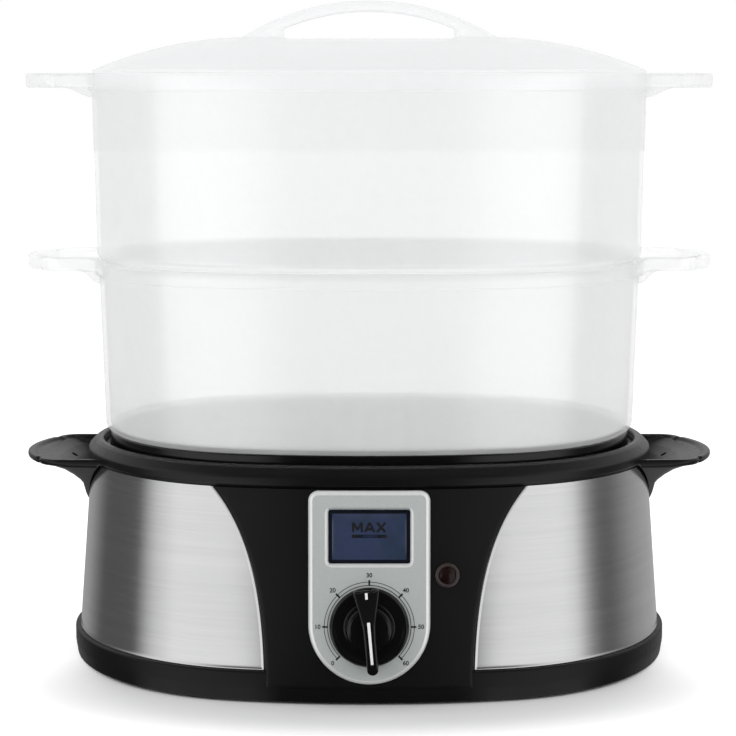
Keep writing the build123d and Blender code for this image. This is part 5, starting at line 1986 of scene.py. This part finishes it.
# ================================================================ stage
@dataclass
class Studio:
    """White floor and surroundings, soft lamps, and a tent that only reflections see."""

    camera_place: Triple = (-0.6, -1075.0, 289.5)
    camera_pitch: float = 7.56
    lens: float = 102.5
    sensor: float = 36.0
    floor_half: float = 9.0         # in metres
    floor_colour: float = 0.84
    floor_glow: float = 0.515
    shadow_core: Triple = (131.3, 63.6, -81.8)    # painted shadow round the base, where the glow is held back: half length, half depth, place in y
    shadow_fade: Pair = (0.824, 1.571)            # where the glow starts and is full, in cores
    world_strength: float = 0.9
    card_half: float = 152.0
    card_reach: float = 1500.0
    tent: tuple[Triple, ...] = (    # share of the reach, height, share of the high tones
        (1.0, 180.0, 1.0), (1.0, 420.0, 1.0), (0.9, 900.0, 0.95), (0.6, 1400.0, 0.3), (0.1, 1700.0, 0.0),
    )
    tones: tuple[Pair, ...] = (     # direction in degrees, brightness
        (26, 0.33), (40, 0.40), (70, 0.45), (130, 0.35), (152, 0.10), (184, 0.10), (196, 0.70), (210, 1.0),
        (247, 0.95), (253, 0.03), (288, 0.03), (294, 0.95), (329, 1.0), (338, 0.86), (343, 0.52), (349, 0.24),
        (356, 0.12), (364, 0.13), (372, 0.20),
    )
    high_tones: tuple[Pair, ...] = (
        (20, 0.8), (50, 0.65), (75, 0.8), (105, 0.8), (130, 0.65), (160, 0.8), (190, 1.0), (222, 0.8),
        (240, 0.12), (300, 0.12), (318, 0.8), (350, 1.0),
    )
    low_height: float = 300.0       # rows below it take the tones near the floor
    top_tone: float = 0.08
    aim: Triple = (0.0, 0.0, 0.15)
    lamps: tuple[tuple[str, Triple, Pair, float], ...] = (    # name, place and size in metres, watts
        ("left_box", (-1.15, -1.05, 0.75), (0.55, 1.5), 3.0),
        ("right_box", (1.15, -1.05, 0.75), (0.55, 1.5), 3.0),
        ("overhead", (0.0, -0.1, 1.9), (1.8, 1.4), 2.5),
    )

    def build(self) -> None:
        """Build the camera, lights and backdrop."""
        self.camera()
        self.world()
        self.floor()
        self.lights()
        self.surround()

    def camera(self) -> None:
        """Camera in front and a little above, looking slightly down."""
        data = bpy.data.cameras.new("camera")
        data.lens, data.sensor_width = self.lens, self.sensor
        data.clip_start, data.clip_end = 0.05, 50.0
        camera = bpy.data.objects.new("camera", data)
        camera.location = Vector(self.camera_place) * MM
        camera.rotation_euler = (math.radians(90 - self.camera_pitch), 0, 0)
        bpy.context.scene.collection.objects.link(camera)
        bpy.context.scene.camera = camera

    def world(self) -> None:
        """World that lights plainly and shows white."""
        bpy.context.scene.world = bpy.data.worlds.new("studio")
        graph = Graph(bpy.context.scene.world)
        shades = [graph.node("Background", {}, {"Color": WHITE, "Strength": level})
                  for level in (self.world_strength, 1.0)]
        graph.surface(graph.blend(graph.plain_sight(), *shades))

    def floor(self) -> None:
        """White floor: its own shading keeps the shadow, and a glow lifts it to white away from the base, so that a
        painted shadow stays round the base.
        """
        side = np.array([-self.floor_half, self.floor_half]) / MM
        piece = Shape().grid(joined(side, side[:, None], 0.0)).build("floor")
        if piece.data.polygons[0].normal.z < 0:
            piece.data.flip_normals()
        graph = Graph.material("floor_white")
        speck, grey = graph.noise(90.0, 3.0), (self.floor_colour,) * 3
        graph.set(
            Base_Color=graph.mix(speck, shade(grey, 0.995), shade(grey, 1.005)),
            Roughness=0.9,
            Specular_IOR_Level=0.0,
        )
        half_length, half_depth, middle_y = self.shadow_core
        scale = (1 / (half_length * MM), 1 / (half_depth * MM), 0.0)
        shift = {0: graph.place(), 1: scale, 2: (0.0, -middle_y * MM * scale[1], 0.0)}
        # The glow grows with the distance from an oval round the base: inside it the floor keeps a painted shadow.
        reach = graph.node("VectorMath", {"operation": "MULTIPLY_ADD"}, shift)
        away = graph.node("VectorMath", {"operation": "LENGTH"}, {0: reach}, "Value").clipped(*self.shadow_fade)
        lift = graph.blend(graph.plain_sight(), graph.glow(0.0), graph.glow(away * self.floor_glow))
        graph.surface(graph.node("AddShader", {}, {0: graph.plain, 1: lift}))
        piece.data.materials.append(graph.owner)

    def lights(self) -> None:
        """Two tall soft boxes in front, left and right, and a broad one overhead, kept out of reflections."""
        for name, place, (width, height), power in self.lamps:
            data = bpy.data.lights.new(name, "AREA")
            data.shape, data.size, data.size_y, data.energy = "RECTANGLE", width, height, power
            light = bpy.data.objects.new(name, data)
            light.location = place
            light.rotation_euler = (Vector(self.aim) - Vector(place)).to_track_quat("-Z", "Y").to_euler()
            light.visible_glossy = False
            bpy.context.scene.collection.objects.link(light)

    def surround(self) -> None:
        """Floor card and tent that only reflections see.

        The card is ruled: each of its columns runs from a station of the oval along the line of sight mirrored
        there, or straight back behind the object, so that a tone reads as an upright band on the wrapped steel. The
        tent stands on the card's far edge. Tones follow the direction of that edge, by straight runs between the
        stops of tones near the floor and of high_tones above.
        """
        turn = np.linspace(0, 2 * math.pi, 361)[:-1]
        foot, normal = joined(*PLAN.point(turn, self.card_half)), joined(np.cos(turn), np.sin(turn))
        sight = foot - np.array(self.camera_place[:2])
        sight /= np.linalg.norm(sight, axis=1, keepdims=True)
        facing = np.minimum((sight * normal).sum(1, keepdims=True), 0.0)
        way = sight - 2 * facing * normal
        along = (foot * way).sum(1, keepdims=True)
        far = along**2 + self.card_reach**2 - (foot**2).sum(1, keepdims=True)
        edge = foot + way * (np.sqrt(far) - along)
        around = np.degrees(np.arctan2(edge[:, 1], edge[:, 0]))
        low, high = (np.interp(around, *np.array(stops).T, period=360) for stops in (self.tones, self.high_tones))
        rows = [(foot + (edge - foot) * share, 0.6, low) for share in (0.0, 0.1, 0.3, 0.6, 1.0)]
        rows += [
            (edge * share, height, low if height < self.low_height else high * dim + self.top_tone * (1 - dim))
            for share, height, dim in self.tent
        ]
        piece = Shape().grid(lifted([row[:2] for row in rows]), False, True).build("surround")
        layer = piece.data.attributes.new("tone", "FLOAT", "POINT")
        layer.data.foreach_set("value", np.concatenate([tone for *_, tone in rows]))
        graph = Graph.material("surround")
        shown = graph.node("Attribute", {"attribute_name": "tone"}, {}, "Fac")
        graph.surface(graph.blend(shown, graph.glow(0.0), graph.glow(1.0)))
        piece.data.materials.append(graph.owner)
        for ray in ("camera", "diffuse", "shadow", "transmission", "volume_scatter"):
            setattr(piece, f"visible_{ray}", False)


def main() -> None:
    """Build the steamer piece by piece."""
    logging.basicConfig(level=logging.INFO, format="%(name)s: %(message)s")
    bpy.context.scene.view_settings.view_transform = "Standard"
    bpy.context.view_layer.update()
    Studio().build()
    Base().build()
    WaterTank().build()
    ControlPanel().build()
    TimerKnob().build()
    DripTray().build()
    SteamRing().build()
    Basket(
        "lower_tier", "lower", half=135.7, draft=0.027, bottom=117.0, rim=204.0, rim_band=7.5, plug_half=130.6,
        floor_half=131.2, ear_tip=174.6, ear_lift=3.0,
    ).build()
    Basket(
        "upper_tier", "upper", half=139.0, draft=0.013, bottom=204.2, rim=297.8, rim_band=9.0, plug_half=135.0,
        floor_half=134.5, ear_tip=174.0,
    ).build()
    Lid().build()
    for node, finish in INNER_PARTS.items():
        finish.dress(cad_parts[node])


if __name__ == "__main__":
    main()
